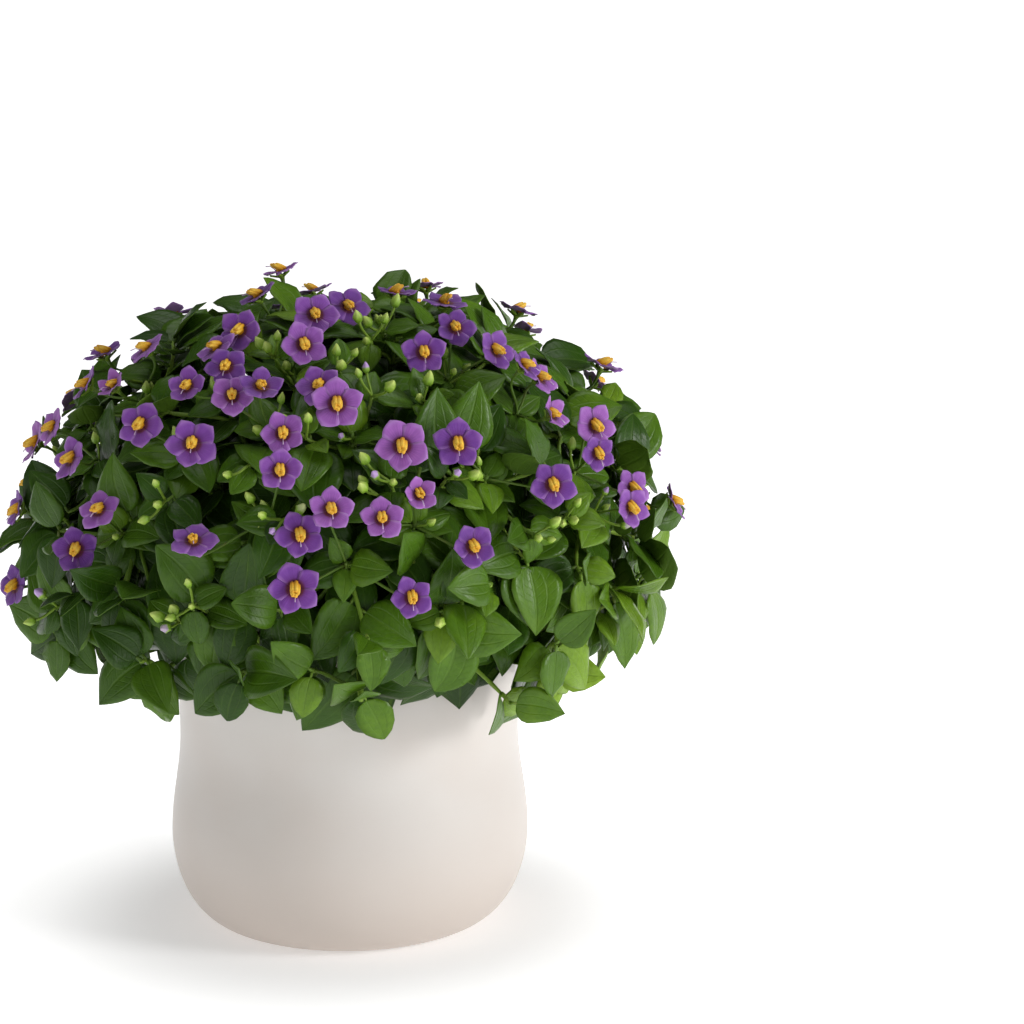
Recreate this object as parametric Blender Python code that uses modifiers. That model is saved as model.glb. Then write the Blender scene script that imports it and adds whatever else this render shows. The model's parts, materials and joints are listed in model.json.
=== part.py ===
"""A potted persian violet: a turned pot, its soil, leafy stems and sprays of bloom.

Metres, +Z up. The origin is the middle of the pot's flat base. -Y is the plant's best side.
"""

import math
import random

import bpy
from mathutils import Vector
from mathutils.bvhtree import BVHTree

MM = 0.001
SEED = 11
GOLDEN_ANGLE = math.pi * (3 - math.sqrt(5))
UP = Vector((0, 0, 1))

# Pot: a rounded foot, a full belly, a slight waist and a lip as thick as the wall
POT_HEIGHT = 110 * MM
BASE_RADIUS = 42 * MM
BELLY_RADIUS = 61 * MM
BELLY_Z = 31 * MM
WAIST_RADIUS = 57.6 * MM
WAIST_Z = 66 * MM
LIP_RADIUS = 58.4 * MM
WALL = 4.5 * MM
FLOOR = 6 * MM
POT_SIDES = 32
OUTSIDE_STEPS = 6
INSIDE_STEPS = 3

# Soil: it fills the pot to a finger's width below the lip
SOIL_TOP = 97 * MM
SOIL_DOME = 2 * MM
SOIL_GAP = 0.45 * MM
SOIL_SIDES = 32
HOLE_DEPTH = 28 * MM
HOLE_CLEARANCE = 0.5 * MM
HOLE_SIDES = 6

# Crown: the surface that the blooms stand on, widest a little above the lip
CROWN_RADIUS = 112 * MM
CROWN_Z = 120 * MM
CROWN_TOP = 217 * MM
CROWN_DEPTH = 60 * MM
CROWN_POWER = 2.3
SKIRT_Z = 96 * MM
SKIRT_TIP_Z = 103 * MM

# The photograph's view of the pot, which turns a picture point into a line of sight
EYE = Vector((55.6, -960.4, 326.5)) * MM
PITCH = math.radians(11)
FOCAL_PIXELS = 2900
MIDDLE_PIXEL = 512
VIEW_RIGHT = Vector((1, 0, 0))
VIEW_UP = Vector((0, math.sin(PITCH), math.cos(PITCH)))
VIEW_AHEAD = Vector((0, math.cos(PITCH), -math.sin(PITCH)))
NEAREST_DEPTH = 800 * MM
FARTHEST_DEPTH = 1150 * MM
DEPTH_STEP = 1 * MM

# Blooms seen in the photograph: column and row of the middle in pixels, how far the face
# turns to the right and up from the viewer (1 is edge-on), and its size as a share
SEEN_BLOOMS = (
    (280, 271, -0.30, 0.93, 0.9),
    (257, 296, -0.50, 0.80, 0.9),
    (240, 331, -0.45, 0.35, 1.0),
    (315, 315, 0.10, 0.45, 1.0),
    (304, 345, 0.15, 0.30, 1.0),
    (216, 348, -0.50, 0.70, 0.9),
    (226, 367, -0.20, 0.40, 0.9),
    (187, 387, -0.30, 0.50, 0.9),
    (232, 396, 0.00, 0.40, 0.9),
    (261, 387, 0.10, 0.72, 1.0),
    (146, 349, -0.60, 0.72, 0.9),
    (86, 385, -0.83, 0.50, 0.9),
    (113, 386, -0.60, 0.60, 0.7),
    (140, 425, -0.35, 0.30, 1.0),
    (192, 444, -0.10, 0.40, 1.1),
    (283, 434, 0.00, 0.30, 0.95),
    (280, 471, 0.00, 0.25, 0.95),
    (52, 428, -0.80, 0.35, 0.9),
    (71, 459, -0.72, 0.30, 1.0),
    (18, 510, -0.90, 0.20, 0.9),
    (99, 510, -0.40, 0.50, 0.95),
    (76, 550, -0.25, 0.20, 1.0),
    (193, 541, 0.00, 0.75, 1.0),
    (300, 535, 0.05, 0.20, 1.0),
    (331, 510, 0.10, 0.40, 1.0),
    (15, 586, -0.75, 0.10, 0.95),
    (295, 589, 0.00, 0.10, 1.05),
    (337, 404, 0.05, 0.25, 1.1),
    (319, 386, -0.20, 0.50, 0.95),
    (348, 307, 0.20, 0.60, 1.0),
    (396, 293, 0.10, 0.97, 0.9),
    (445, 303, 0.10, 0.93, 1.0),
    (455, 328, 0.20, 0.45, 0.9),
    (424, 353, 0.10, 0.30, 0.95),
    (496, 351, 0.60, 0.40, 0.95),
    (540, 378, 0.75, 0.50, 0.9),
    (525, 366, 0.70, 0.60, 0.85),
    (552, 415, 0.80, 0.40, 0.75),
    (595, 426, 0.50, 0.20, 1.0),
    (598, 454, 0.40, 0.10, 0.8),
    (402, 446, 0.00, 0.20, 1.1),
    (458, 444, 0.10, 0.20, 1.05),
    (553, 485, 0.20, 0.20, 1.0),
    (419, 495, 0.30, 0.30, 0.7),
    (382, 519, 0.05, 0.35, 0.9),
    (473, 547, 0.30, 0.25, 0.95),
    (633, 489, 0.60, 0.20, 0.9),
    (631, 508, 0.60, 0.10, 0.9),
    (412, 598, 0.10, 0.15, 0.9),
)

# Blooms on the side away from the viewer, spread by the golden angle
BACK_SAMPLES = 66
BACK_FACING = 0.06
BACK_LOWEST = 128 * MM
BACK_LIFT = 0.35
BACK_SCATTER = 0.3

# One bloom: five petals, a cone of anthers and a slim pedicel
BLOOM_RADIUS = 9.3 * MM
PETALS = 5
NOTCH_SHARE = 0.56
PETAL_RISE = 0.16
PETAL_THICKNESS = 0.8 * MM
THROAT_RADIUS = 1.9 * MM
ANTHER_HEIGHT = 4.2 * MM
CUP_DEPTH = 2.2 * MM
PEDICEL_RADIUS = 0.65 * MM
PEDICEL_SIDES = 3
PEDICEL_STEPS = 1
CUP_RADIUS = 1 * MM

# Sprays: neighbouring blooms share one stalk, which starts on a shoot's tip
SPRAY_MOST = 3
SPRAY_REACH = 36 * MM
SPRAY_ROOT_DEPTH = 16 * MM
STALK_LENGTH = 4 * MM
STALK_RADIUS = 1 * MM
FORK_PLACES = (0.72, 0.56, 0.4)
SEAT_GAP = 0.35 * MM

# Shoots: one under each spray, a skirt of them that arch over the lip, and leafy ones in gaps
SKIRT_SHOOTS = 16
SKIRT_RADIUS = 86 * MM
SKIRT_STAGGER = 5 * MM
SHOOT_SAMPLES = 60
SHOOT_SPACING = 28 * MM
SHOOT_DEPTH = 10 * MM
SHOOT_RADIUS = 1.15 * MM
SHOOT_SIDES = 4
SKIRT_BARE_PLACES = (0, 0.42)
UPPER_BARE_PLACES = (0,)
STEMS = 10
STEM_SPREAD = 36 * MM
STEM_RADIUS = 1.9 * MM
STEM_SIDES = 4
FORK_Z = 119 * MM
FORK_RADIUS = 1.5 * MM

# Leaves: ovate and acute, in crossed pairs on the upper part of each shoot
LEAF_LENGTH = 28 * MM
LEAF_WIDTH = 21 * MM
BLADE = 0.7 * MM
PAIR_PLACES = (0.95, 0.83, 0.70)
PAIR_SIZES = (0.88, 1.05, 1.05)
UPPER_PAIRS = 2
SKIRT_PAIRS = 3
SKIRT_FROM = 0.72
NODE_HALF = 0.9 * MM
ROOT_PLACE = 0.03
CLEAR_PLACE = 0.13
LEAST_LEAN = 0.45
LEAST_RISE = 0.12
WIDEST_PLACE = 0.38
SHOULDER_PLACE = 0.72
SHOULDER_SHARE = 0.76
LEAF_TRIES = 28

# Room kept between pieces, and how often a piece is moved to find it
CLEARANCE = 0.4 * MM
BLOOM_TRIES = 14
BLOOM_SHIFT = 1.6 * MM
SHOOT_TRIES = 40
SHOOT_LOOSENESS = 0.5 * MM
SHOOT_LEAVE = 18 * MM


def pot_outside(z):
    """The pot's outer radius at a height above its belly."""
    if z < WAIST_Z:
        ease = 0.5 + 0.5 * math.cos(math.pi * (z - BELLY_Z) / (WAIST_Z - BELLY_Z))
        return WAIST_RADIUS + (BELLY_RADIUS - WAIST_RADIUS) * ease
    rise = (z - WAIST_Z) / (POT_HEIGHT - WAIST_Z)
    return WAIST_RADIUS + (LIP_RADIUS - WAIST_RADIUS) * rise * rise


def spaced(first, last, steps):
    """Evenly spaced values from first to last."""
    return [first + (last - first) * i / steps for i in range(steps + 1)]


def pot_side(inset, steps):
    """The pot's side from under the lip to the foot, moved inwards by inset, as (radius, z)."""
    points = [(pot_outside(z) - inset, z) for z in spaced(POT_HEIGHT - WALL / 2, BELLY_Z, steps)]
    for angle in spaced(0, math.pi / 2, steps)[1:]:
        radius = BASE_RADIUS + (BELLY_RADIUS - BASE_RADIUS) * math.cos(angle)
        points.append((radius - inset * math.cos(angle), BELLY_Z * (1 - math.sin(angle))))
    return points


def pot_profile():
    """From the middle of the floor, up the inside, over the lip and down the outside."""
    inside = [p for p in pot_side(WALL, INSIDE_STEPS) if p[1] > FLOOR + 1 * MM]
    points = [(0, FLOOR), (inside[-1][0] - 4 * MM, FLOOR)] + inside[::-1]
    middle = pot_outside(POT_HEIGHT - WALL / 2) - WALL / 2
    for angle in spaced(math.pi, 0, 4)[1:-1]:
        lip = (middle + WALL / 2 * math.cos(angle), POT_HEIGHT - WALL / 2 + WALL / 2 * math.sin(angle))
        points.append(lip)
    return points + pot_side(0, OUTSIDE_STEPS) + [(0, 0)]


def soil_profile():
    """From the middle of the surface, down the side and in under the floor of the plug."""
    inset = WALL + SOIL_GAP
    side = [p for p in pot_side(inset, INSIDE_STEPS) if FLOOR + 2 * MM < p[1] < SOIL_TOP]
    edge = (pot_outside(SOIL_TOP) - inset, SOIL_TOP)
    foot = (side[-1][0] - 4 * MM, FLOOR + SEAT_GAP)
    return [(0, SOIL_TOP + SOIL_DOME), edge, *side, foot, (0, foot[1])]


def lathe(profile, sides):
    """Vertices and faces of a profile turned about Z, open at the axis."""
    verts = []
    for radius, z in profile:
        for i in range(sides):
            angle = math.tau * i / sides
            verts.append(Vector((radius * math.cos(angle), radius * math.sin(angle), z)))
    faces = []
    for row in range(len(profile) - 1):
        for i in range(sides):
            j = (i + 1) % sides
            faces.append((row * sides + i, row * sides + j, (row + 1) * sides + j, (row + 1) * sides + i))
    return verts, faces


def crown_level(point):
    """1 on the crown's surface, less inside it and more outside."""
    across = math.hypot(point.x, point.y) / CROWN_RADIUS
    height = point.z - CROWN_Z
    share = abs(height) / (CROWN_TOP - CROWN_Z if height > 0 else CROWN_DEPTH)
    return (across**CROWN_POWER + share**CROWN_POWER) ** (1 / CROWN_POWER)


def crown_point(z, angle):
    height = z - CROWN_Z
    share = abs(height) / (CROWN_TOP - CROWN_Z if height > 0 else CROWN_DEPTH)
    radius = CROWN_RADIUS * (1 - min(share, 1) ** CROWN_POWER) ** (1 / CROWN_POWER)
    return Vector((radius * math.cos(angle), radius * math.sin(angle), z))


def crown_normal(point):
    """The way out of the crown at a point."""
    step = 0.5 * MM
    slope = [crown_level(point + axis * step) - crown_level(point - axis * step)
             for axis in (Vector((1, 0, 0)), Vector((0, 1, 0)), UP)]
    return Vector(slope).normalized()


def sight_line(column, row):
    """The direction from the eye through a pixel, one unit deep."""
    across = (column - MIDDLE_PIXEL) / FOCAL_PIXELS
    above = (MIDDLE_PIXEL - row) / FOCAL_PIXELS
    return VIEW_RIGHT * across + VIEW_UP * above + VIEW_AHEAD


def seen_on_crown(column, row):
    """Where a pixel's line of sight first meets the crown, or passes nearest to it."""
    line = sight_line(column, row)
    nearest = None
    depth = NEAREST_DEPTH
    while depth < FARTHEST_DEPTH:
        point = EYE + line * depth
        level = crown_level(point)
        if level < 1:
            return point
        if nearest is None or level < nearest[0]:
            nearest = (level, point)
        depth += DEPTH_STEP
    return nearest[1]


def seen_blooms():
    """The photographed blooms as (centre, facing, radius, line of sight)."""
    blooms = []
    for column, row, turn, lift, size in SEEN_BLOOMS:
        line = sight_line(column, row).normalized()
        toward = math.sqrt(max(0, 1 - turn * turn - lift * lift))
        facing = VIEW_RIGHT * turn + VIEW_UP * lift - line * toward
        blooms.append((seen_on_crown(column, row), facing.normalized(), BLOOM_RADIUS * size, line))
    return blooms


def back_blooms():
    """Blooms on the side that the photograph doesn't show, in the same form."""
    rng = random.Random(SEED)
    blooms = []
    for i in range(BACK_SAMPLES):
        z = CROWN_TOP - (CROWN_TOP - BACK_LOWEST) * (i + 0.5) / BACK_SAMPLES
        point = crown_point(z, i * GOLDEN_ANGLE)
        normal = crown_normal(point)
        scatter = Vector([rng.uniform(-BACK_SCATTER, BACK_SCATTER) for _ in range(3)])
        size = rng.uniform(0.85, 1.08)
        if normal.dot((EYE - point).normalized()) > BACK_FACING:
            continue
        facing = (normal + UP * BACK_LIFT + scatter).normalized()
        blooms.append((point, facing, BLOOM_RADIUS * size, normal))
    return blooms


def group_blooms(blooms):
    """Blooms that stand near each other, as lists of at most SPRAY_MOST."""
    groups = []
    for bloom in blooms:
        best = None
        for group in groups:
            far = max((bloom[0] - other[0]).length for other in group)
            if len(group) < SPRAY_MOST and far < SPRAY_REACH and (best is None or far < best[0]):
                best = (far, group)
        if best:
            best[1].append(bloom)
        else:
            groups.append([bloom])
    return groups


def stem_name(index):
    return f"stem_{index + 1:02d}"


def spray_name(index):
    return f"spray_{index + 1:02d}"


def skirt_share(z):
    """0 at the top of the crown, 1 at its skirt."""
    return min(1, max(0, (CROWN_TOP - z) / (CROWN_TOP - SKIRT_Z)))


def arch_control(tip):
    """The point that a shoot heads for before it turns to its tip, above the lip for a low one."""
    low = skirt_share(tip.z)
    inward = 0.86 - 0.22 * low
    return Vector((tip.x * inward, tip.y * inward, tip.z - 28 * MM + 50 * MM * low * low))


def bezier_point(controls, t):
    a, b, c, d = controls
    s = 1 - t
    return a * s**3 + b * (3 * s * s * t) + c * (3 * s * t * t) + d * t**3


def bezier_heading(controls, t):
    a, b, c, d = controls
    s = 1 - t
    return ((b - a) * s * s + (c - b) * (2 * s * t) + (d - c) * t * t).normalized()


def perpendicular(direction):
    other = UP if abs(direction.z) < 0.8 else Vector((1, 0, 0))
    return direction.cross(other).normalized()


def ring(centre, side, direction, radius, count, spin=0.0):
    """Points round a centre, in the plane across a direction."""
    other = direction.cross(side)
    points = []
    for i in range(count):
        angle = spin + math.tau * i / count
        points.append(centre + side * (radius * math.cos(angle)) + other * (radius * math.sin(angle)))
    return points


def tube_rings(path, headings, radii, sides, spin=0.0):
    """Rings along a path, carried from each point to the next without a twist."""
    rings = []
    side = perpendicular(headings[0])
    before = headings[0]
    for point, heading, radius in zip(path, headings, radii):
        side = before.rotation_difference(heading) @ side
        rings.append(ring(point, side, heading, radius, sides, spin))
        before = heading
    return rings


def loft(rings):
    """A closed skin through rings that may differ in their number of points."""
    verts = [point for points in rings for point in points]
    faces = []
    start = 0
    if len(rings[0]) > 2:
        faces.append(tuple(reversed(range(len(rings[0])))))
    for lower, upper in zip(rings, rings[1:]):
        n, m = len(lower), len(upper)
        i = j = 0
        while i < n or j < m:
            a = start + i % n
            b = start + n + j % m
            if m == 1 or (i < n and (i + 1) * m <= (j + 1) * n):
                if i == n:
                    break
                faces.append((a, start + (i + 1) % n, b))
                i += 1
            else:
                faces.append((a, start + n + (j + 1) % m, b))
                j += 1
        start += n
    if len(rings[-1]) > 2:
        faces.append(tuple(range(start, start + len(rings[-1]))))
    return verts, faces


def corolla_rings(centre, facing, radius, side, grow):
    """The open bloom's rings, from the cup under the petals to the anthers' tip."""
    edge = radius + grow
    notch = edge * NOTCH_SHARE
    half = PETAL_THICKNESS / 2 + grow
    other = facing.cross(side)
    under, over = [], []
    for i in range(2 * PETALS):
        angle = math.pi * i / PETALS
        reach = notch if i % 2 else edge
        rise = 0 if i % 2 else radius * PETAL_RISE
        flat = centre + side * (reach * math.cos(angle)) + other * (reach * math.sin(angle))
        under.append(flat + facing * (rise - half))
        over.append(flat + facing * (rise + half))
    throat = ring(centre + facing * half, side, facing, THROAT_RADIUS + grow, PETALS)
    tip = [centre + facing * (ANTHER_HEIGHT + grow)]
    return [under, over, throat, tip]


def bloom_rings(bloom, root, heading, grow=0.0):
    """A whole bloom from its pedicel's root to its anthers."""
    centre, facing, radius, _ = bloom
    cup = centre - facing * CUP_DEPTH
    reach = (cup - root).length * 0.45
    controls = (root, root + heading * reach, cup - facing * reach, cup)
    places = spaced(0, 1, PEDICEL_STEPS)
    path = [bezier_point(controls, t) for t in places]
    headings = [bezier_heading(controls, t) for t in places[:-1]] + [facing]
    radii = [PEDICEL_RADIUS + grow] * PEDICEL_STEPS + [CUP_RADIUS + grow]
    pedicel = tube_rings(path, headings, radii, PEDICEL_SIDES)
    side = (pedicel[-1][0] - cup).normalized()
    return pedicel + corolla_rings(centre, facing, radius, side, grow)


def stalk_rings(tip, heading):
    """The short stalk that a forked spray starts with."""
    path = [tip + heading * SEAT_GAP, tip + heading * (SEAT_GAP + STALK_LENGTH)]
    return tube_rings(path, [heading] * 2, [STALK_RADIUS] * 2, PEDICEL_SIDES)


def leaf_point(leaf, across, along):
    """A point of a blade: across from -1 to 1 in leaf widths, along from 0 at its root to 1."""
    root, axis, face, length, width, fold, droop = leaf
    side = axis.cross(face)
    turn = droop * along
    middle = root + axis * (length * math.sin(turn) / droop) - face * (length * (1 - math.cos(turn)) / droop)
    lift = face * math.cos(turn) + axis * math.sin(turn)
    half = width / 2 * across
    return middle + side * (half * math.cos(fold)) + lift * (abs(half) * math.sin(fold))


def leaf_lift(leaf, along):
    """The way out of a blade's upper face at a place along it."""
    _, axis, face, _, _, _, droop = leaf
    return face * math.cos(droop * along) + axis * math.sin(droop * along)


def leaf_sheet(leaf, start):
    """The coarse blade without its thickness: start pair, widest pair, shoulder pair and tip."""
    rows = ((start / WIDEST_PLACE, start), (1, WIDEST_PLACE), (SHOULDER_SHARE, SHOULDER_PLACE))
    verts = [leaf_point(leaf, share * side, place) for share, place in rows for side in (1, -1)]
    verts.append(leaf_point(leaf, 0, 1))
    return verts, [(0, 2, 1), (1, 2, 3), (2, 4, 3), (3, 4, 5), (5, 4, 6)]


def blade_section(leaf, share, place):
    """The four corners of a blade's cross-section, in the order of a stem's face."""
    lift = leaf_lift(leaf, place) * (BLADE / 2)
    left = leaf_point(leaf, -share, place)
    right = leaf_point(leaf, share, place)
    return [left - lift, left + lift, right + lift, right - lift]


def add_blade(verts, faces, quad, leaf):
    """A blade grown out of one face of a stem, split alike above and below."""
    root, axis, face = leaf[:3]
    side = axis.cross(face)
    wish = [root + (side * x + face * z) * MM for x, z in ((-1, -1), (-1, 1), (1, 1), (1, -1))]
    costs = []
    for turn in range(4):
        turned = quad[turn:] + quad[:turn]
        costs.append((sum((verts[i] - p).length for i, p in zip(turned, wish)), turned))
    lower = min(costs)[1]
    for share, place in ((1, WIDEST_PLACE), (SHOULDER_SHARE, SHOULDER_PLACE)):
        upper = tuple(range(len(verts), len(verts) + 4))
        verts += blade_section(leaf, share, place)
        a, b, c, d = lower
        e, f, g, h = upper
        faces += [(a, b, f), (a, f, e), (b, c, g), (b, g, f), (c, d, h), (c, h, g), (d, a, h), (a, e, h)]
        lower = upper
    a, b, c, d = lower
    over = len(verts)
    tip = leaf_point(leaf, 0, 1)
    lift = leaf_lift(leaf, 1) * (BLADE / 2)
    verts += [tip + lift, tip - lift]
    under = over + 1
    faces += [(b, c, over), (d, a, under), (a, b, over), (a, over, under), (c, d, under), (c, under, over)]


def shoot_form(tip):
    """The places of a shoot's bare rings, and how many pairs of leaves it has."""
    if skirt_share(tip.z) > SKIRT_FROM:
        return SKIRT_BARE_PLACES, SKIRT_PAIRS
    return UPPER_BARE_PLACES, UPPER_PAIRS


def shoot_rings(controls, spin, grow=0.0):
    """A shoot's rings: bare ones, then two close together for each pair of leaves, then its tip."""
    length = sum((b - a).length for a, b in zip(controls, controls[1:]))
    half = NODE_HALF / length
    bare, pairs = shoot_form(controls[3])
    places = list(bare)
    for place in reversed(PAIR_PLACES[:pairs]):
        places += [place - half, place + half]
    places.append(1)
    path = [bezier_point(controls, t) for t in places]
    headings = [bezier_heading(controls, t) for t in places]
    return tube_rings(path, headings, [SHOOT_RADIUS + grow] * len(places), SHOOT_SIDES, spin)


def leafy_shoot(shoot):
    """One closed skin for a shoot and its leaves, which grow out of the faces at its nodes."""
    rings = shoot_rings(shoot["controls"], shoot["spin"])
    verts = [point for points in rings for point in points]
    faces = [(3, 2, 1, 0), tuple(range(len(verts) - 4, len(verts)))]
    for row in range(len(rings) - 1):
        for i in range(SHOOT_SIDES):
            j = (i + 1) % SHOOT_SIDES
            low = row * SHOOT_SIDES
            high = low + SHOOT_SIDES
            quad = (low + i, low + j, high + j, high + i)
            if (row, i) in shoot["leaves"]:
                add_blade(verts, faces, quad, shoot["leaves"][row, i])
            else:
                faces.append(quad)
    return verts, faces


def slab(verts, faces, half):
    """A sheet thickened by half on each side, with walls round its edge."""
    normals = [Vector() for _ in verts]
    edges = {}
    for face in faces:
        a, b, c = (verts[i] for i in face)
        normal = (b - a).cross(c - a)
        for i, j in zip(face, face[1:] + face[:1]):
            normals[i] += normal
            if (j, i) in edges:
                del edges[(j, i)]
            else:
                edges[(i, j)] = True
    normals = [n.normalized() for n in normals]
    top = [v + n * half for v, n in zip(verts, normals)]
    bottom = [v - n * half for v, n in zip(verts, normals)]
    count = len(verts)
    shell = [tuple(face) for face in faces]
    shell += [tuple(i + count for i in reversed(face)) for face in faces]
    shell += [(j, i, i + count, j + count) for i, j in edges]
    return top + bottom, shell


class Thicket:
    """Everything placed so far, which each new piece has to stay clear of."""

    def __init__(self):
        self.pieces = []

    def add(self, family, verts, faces):
        centre = sum(verts, Vector()) / len(verts)
        reach = max((v - centre).length for v in verts)
        self.pieces.append((family, centre, reach, BVHTree.FromPolygons(verts, faces)))

    def hits(self, verts, faces, wanted):
        """Whether the piece crosses any placed piece whose family is wanted."""
        centre = sum(verts, Vector()) / len(verts)
        reach = max((v - centre).length for v in verts)
        tree = None
        for family, other, far, placed in self.pieces:
            if (centre - other).length > reach + far or not wanted(family):
                continue
            tree = tree or BVHTree.FromPolygons(verts, faces)
            if tree.overlap(placed):
                return True
        return False


def spray_root(group):
    """The shoot tip under a group of blooms, and the way its stalk starts."""
    middle = sum((bloom[0] for bloom in group), Vector()) / len(group)
    tip = middle - crown_normal(middle) * SPRAY_ROOT_DEPTH
    return tip, (tip - arch_control(tip)).normalized()


def place_sprays(thicket):
    """Sprays as (tip, heading, blooms, forked), each bloom moved along its line until clear."""
    sprays = []
    for group in group_blooms(seen_blooms() + back_blooms()):
        tip, heading = spray_root(group)
        name = spray_name(len(sprays))
        start = tip + heading * SEAT_GAP
        if len(group) > 1:
            thicket.add((name, "stalk"), *loft(stalk_rings(tip, heading)))
        placed = []
        for place, (centre, facing, radius, line) in zip(FORK_PLACES, group):
            root = start + heading * (STALK_LENGTH * place) if len(group) > 1 else start
            for attempt in range(BLOOM_TRIES):
                shift = (attempt + 1) // 2 * (-1) ** attempt * BLOOM_SHIFT
                bloom = (centre + line * shift, facing, radius, line)
                aim = heading if len(group) == 1 else (bloom[0] - root).normalized()
                rings = bloom_rings(bloom, root, aim, CLEARANCE)
                head = loft(rings[-5:])
                if thicket.hits(*loft(rings), lambda f: f[0] != name):
                    continue
                if thicket.hits(*head, lambda f: f[0] == name):
                    continue
                placed.append((bloom, root, aim))
                thicket.add((name, "bloom"), *loft(bloom_rings(bloom, root, aim)))
                break
        if placed:
            sprays.append((tip, heading, placed, len(group) > 1))
    return sprays


def shoot_tips(sprays):
    """A tip under each spray, then leafy tips in the gaps between them."""
    tips = [(tip, heading, i) for i, (tip, heading, *_) in enumerate(sprays)]
    for i in range(SKIRT_SHOOTS):
        angle = math.tau * (i + 0.25) / SKIRT_SHOOTS
        radius = SKIRT_RADIUS + SKIRT_STAGGER * (-1) ** i
        tip = Vector((radius * math.cos(angle), radius * math.sin(angle), SKIRT_TIP_Z - SKIRT_STAGGER * (-1) ** i))
        tips.append((tip, (tip - arch_control(tip)).normalized(), None))
    for i in range(SHOOT_SAMPLES):
        z = CROWN_TOP - (CROWN_TOP - SKIRT_Z) * (i + 0.5) / SHOOT_SAMPLES
        surface = crown_point(z, i * GOLDEN_ANGLE)
        tip = surface - crown_normal(surface) * SHOOT_DEPTH
        if min((tip - other[0]).length for other in tips) > SHOOT_SPACING:
            tips.append((tip, (tip - arch_control(tip)).normalized(), None))
    return tips


def stem_places():
    """Where the stems stand in the soil, spread by the golden angle."""
    places = []
    for k in range(STEMS):
        radius = STEM_SPREAD * math.sqrt((k + 0.5) / STEMS)
        angle = k * GOLDEN_ANGLE
        places.append(Vector((radius * math.cos(angle), radius * math.sin(angle), 0)))
    return places


def stem_path(place):
    """A stem from the bottom of its hole, straight up and then leaning out a little."""
    foot = SOIL_TOP + SOIL_DOME - HOLE_DEPTH + SEAT_GAP
    return [
        place + UP * foot,
        place + UP * (SOIL_TOP + SOIL_DOME + 2 * MM),
        place * 1.12 + UP * FORK_Z,
    ]


def nearest_stem(tip, places):
    low = skirt_share(tip.z)
    flat = Vector((tip.x, tip.y, 0))
    wish = flat.normalized() * (STEM_SPREAD * low**0.8)
    return min(range(len(places)), key=lambda k: (places[k] - wish).length)


def stem_rings(path):
    headings = [UP, UP, (path[2] - path[1]).normalized()]
    return tube_rings(path, headings, [STEM_RADIUS, STEM_RADIUS, FORK_RADIUS], STEM_SIDES)


def shoot_try(rng, stem, tip, heading, attempt):
    """One way for a shoot to leave its stem and reach its tip, looser at each attempt."""
    bend, top = stem["path"][1:]
    lean = (top - bend).normalized()
    start = bend + (top - bend) * rng.uniform(0.2, 0.92)
    loose = attempt * SHOOT_LOOSENESS
    jitter = Vector([rng.uniform(-loose, loose) for _ in range(3)])
    leave = start + (lean * 0.6 + (tip - start).normalized() * 0.4) * SHOOT_LEAVE + jitter
    reach = (tip - arch_control(tip)).length * rng.uniform(0.7, 1.15)
    return start, leave, tip - heading * reach, tip


def place_shoots(thicket, sprays):
    """Stems and their shoots, lowest first."""
    places = stem_places()
    stems = [{"path": stem_path(place), "shoots": []} for place in places]
    for k, stem in enumerate(stems):
        thicket.add((stem_name(k), "stem"), *loft(stem_rings(stem["path"])))
    tips = sorted(shoot_tips(sprays), key=lambda t: t[0].z)
    for number, (tip, heading, spray) in enumerate(tips):
        rng = random.Random(f"{SEED} shoot {number}")
        k = nearest_stem(tip, places)
        name = stem_name(k)
        own_spray = None if spray is None else spray_name(spray)
        spin = rng.uniform(0, math.tau)
        for attempt in range(SHOOT_TRIES):
            controls = shoot_try(rng, stems[k], tip, heading, attempt)
            wide = loft(shoot_rings(controls, spin, CLEARANCE))
            plain = loft(shoot_rings(controls, spin))
            outer = loft(shoot_rings(controls, spin)[1:])
            if thicket.hits(*wide, lambda f: f[0] not in (name, own_spray)):
                continue
            if thicket.hits(*plain, lambda f: f[0] == own_spray):
                continue
            if attempt < SHOOT_TRIES // 2 and thicket.hits(*outer, lambda f: f[0] == name):
                continue
            stems[k]["shoots"].append({"controls": controls, "spin": spin, "number": number, "leaves": {}})
            thicket.add((name, number), *plain)
            break
    return stems


def leaf_try(rng, root, heading, outward, size, attempt):
    """One way for a leaf to grow from its place on a shoot."""
    ease = attempt / LEAF_TRIES
    out = crown_normal(root)
    low = skirt_share(root.z)
    down = 0.1 + 0.95 * low * low + rng.uniform(-0.2, 0.3)
    lift = 0.75 + rng.uniform(-0.3, 0.3) - 0.45 * low * low
    loose = 0.25 + 0.5 * ease
    scatter = Vector([rng.uniform(-loose, loose) for _ in range(3)])
    axis = (outward * 0.95 + out * lift - UP * down + scatter).normalized()
    lack = LEAST_LEAN - axis.dot(outward)
    if lack > 0:
        axis = (axis + outward * lack * 1.5).normalized()
    face = out * 0.8 + UP * (0.75 - 0.6 * low) + heading * 0.4
    face += Vector([rng.uniform(-0.3, 0.3) for _ in range(3)])
    face = (face - axis * face.dot(axis)).normalized()
    size *= rng.uniform(0.88, 1.1) * (1 - 0.3 * ease)
    fold = math.radians(rng.uniform(6, 18))
    droop = math.radians(rng.uniform(15, 50))
    return root, axis, face, LEAF_LENGTH * size, LEAF_WIDTH * size * rng.uniform(0.92, 1.08), fold, droop


def least_rise(leaf, outward):
    """How steeply the lower of a blade's two edges rises from the face that it grows on."""
    edges = [leaf_point(leaf, side, WIDEST_PLACE) - leaf[0] for side in (1, -1)]
    return min(edge.normalized().dot(outward) for edge in edges)


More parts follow.
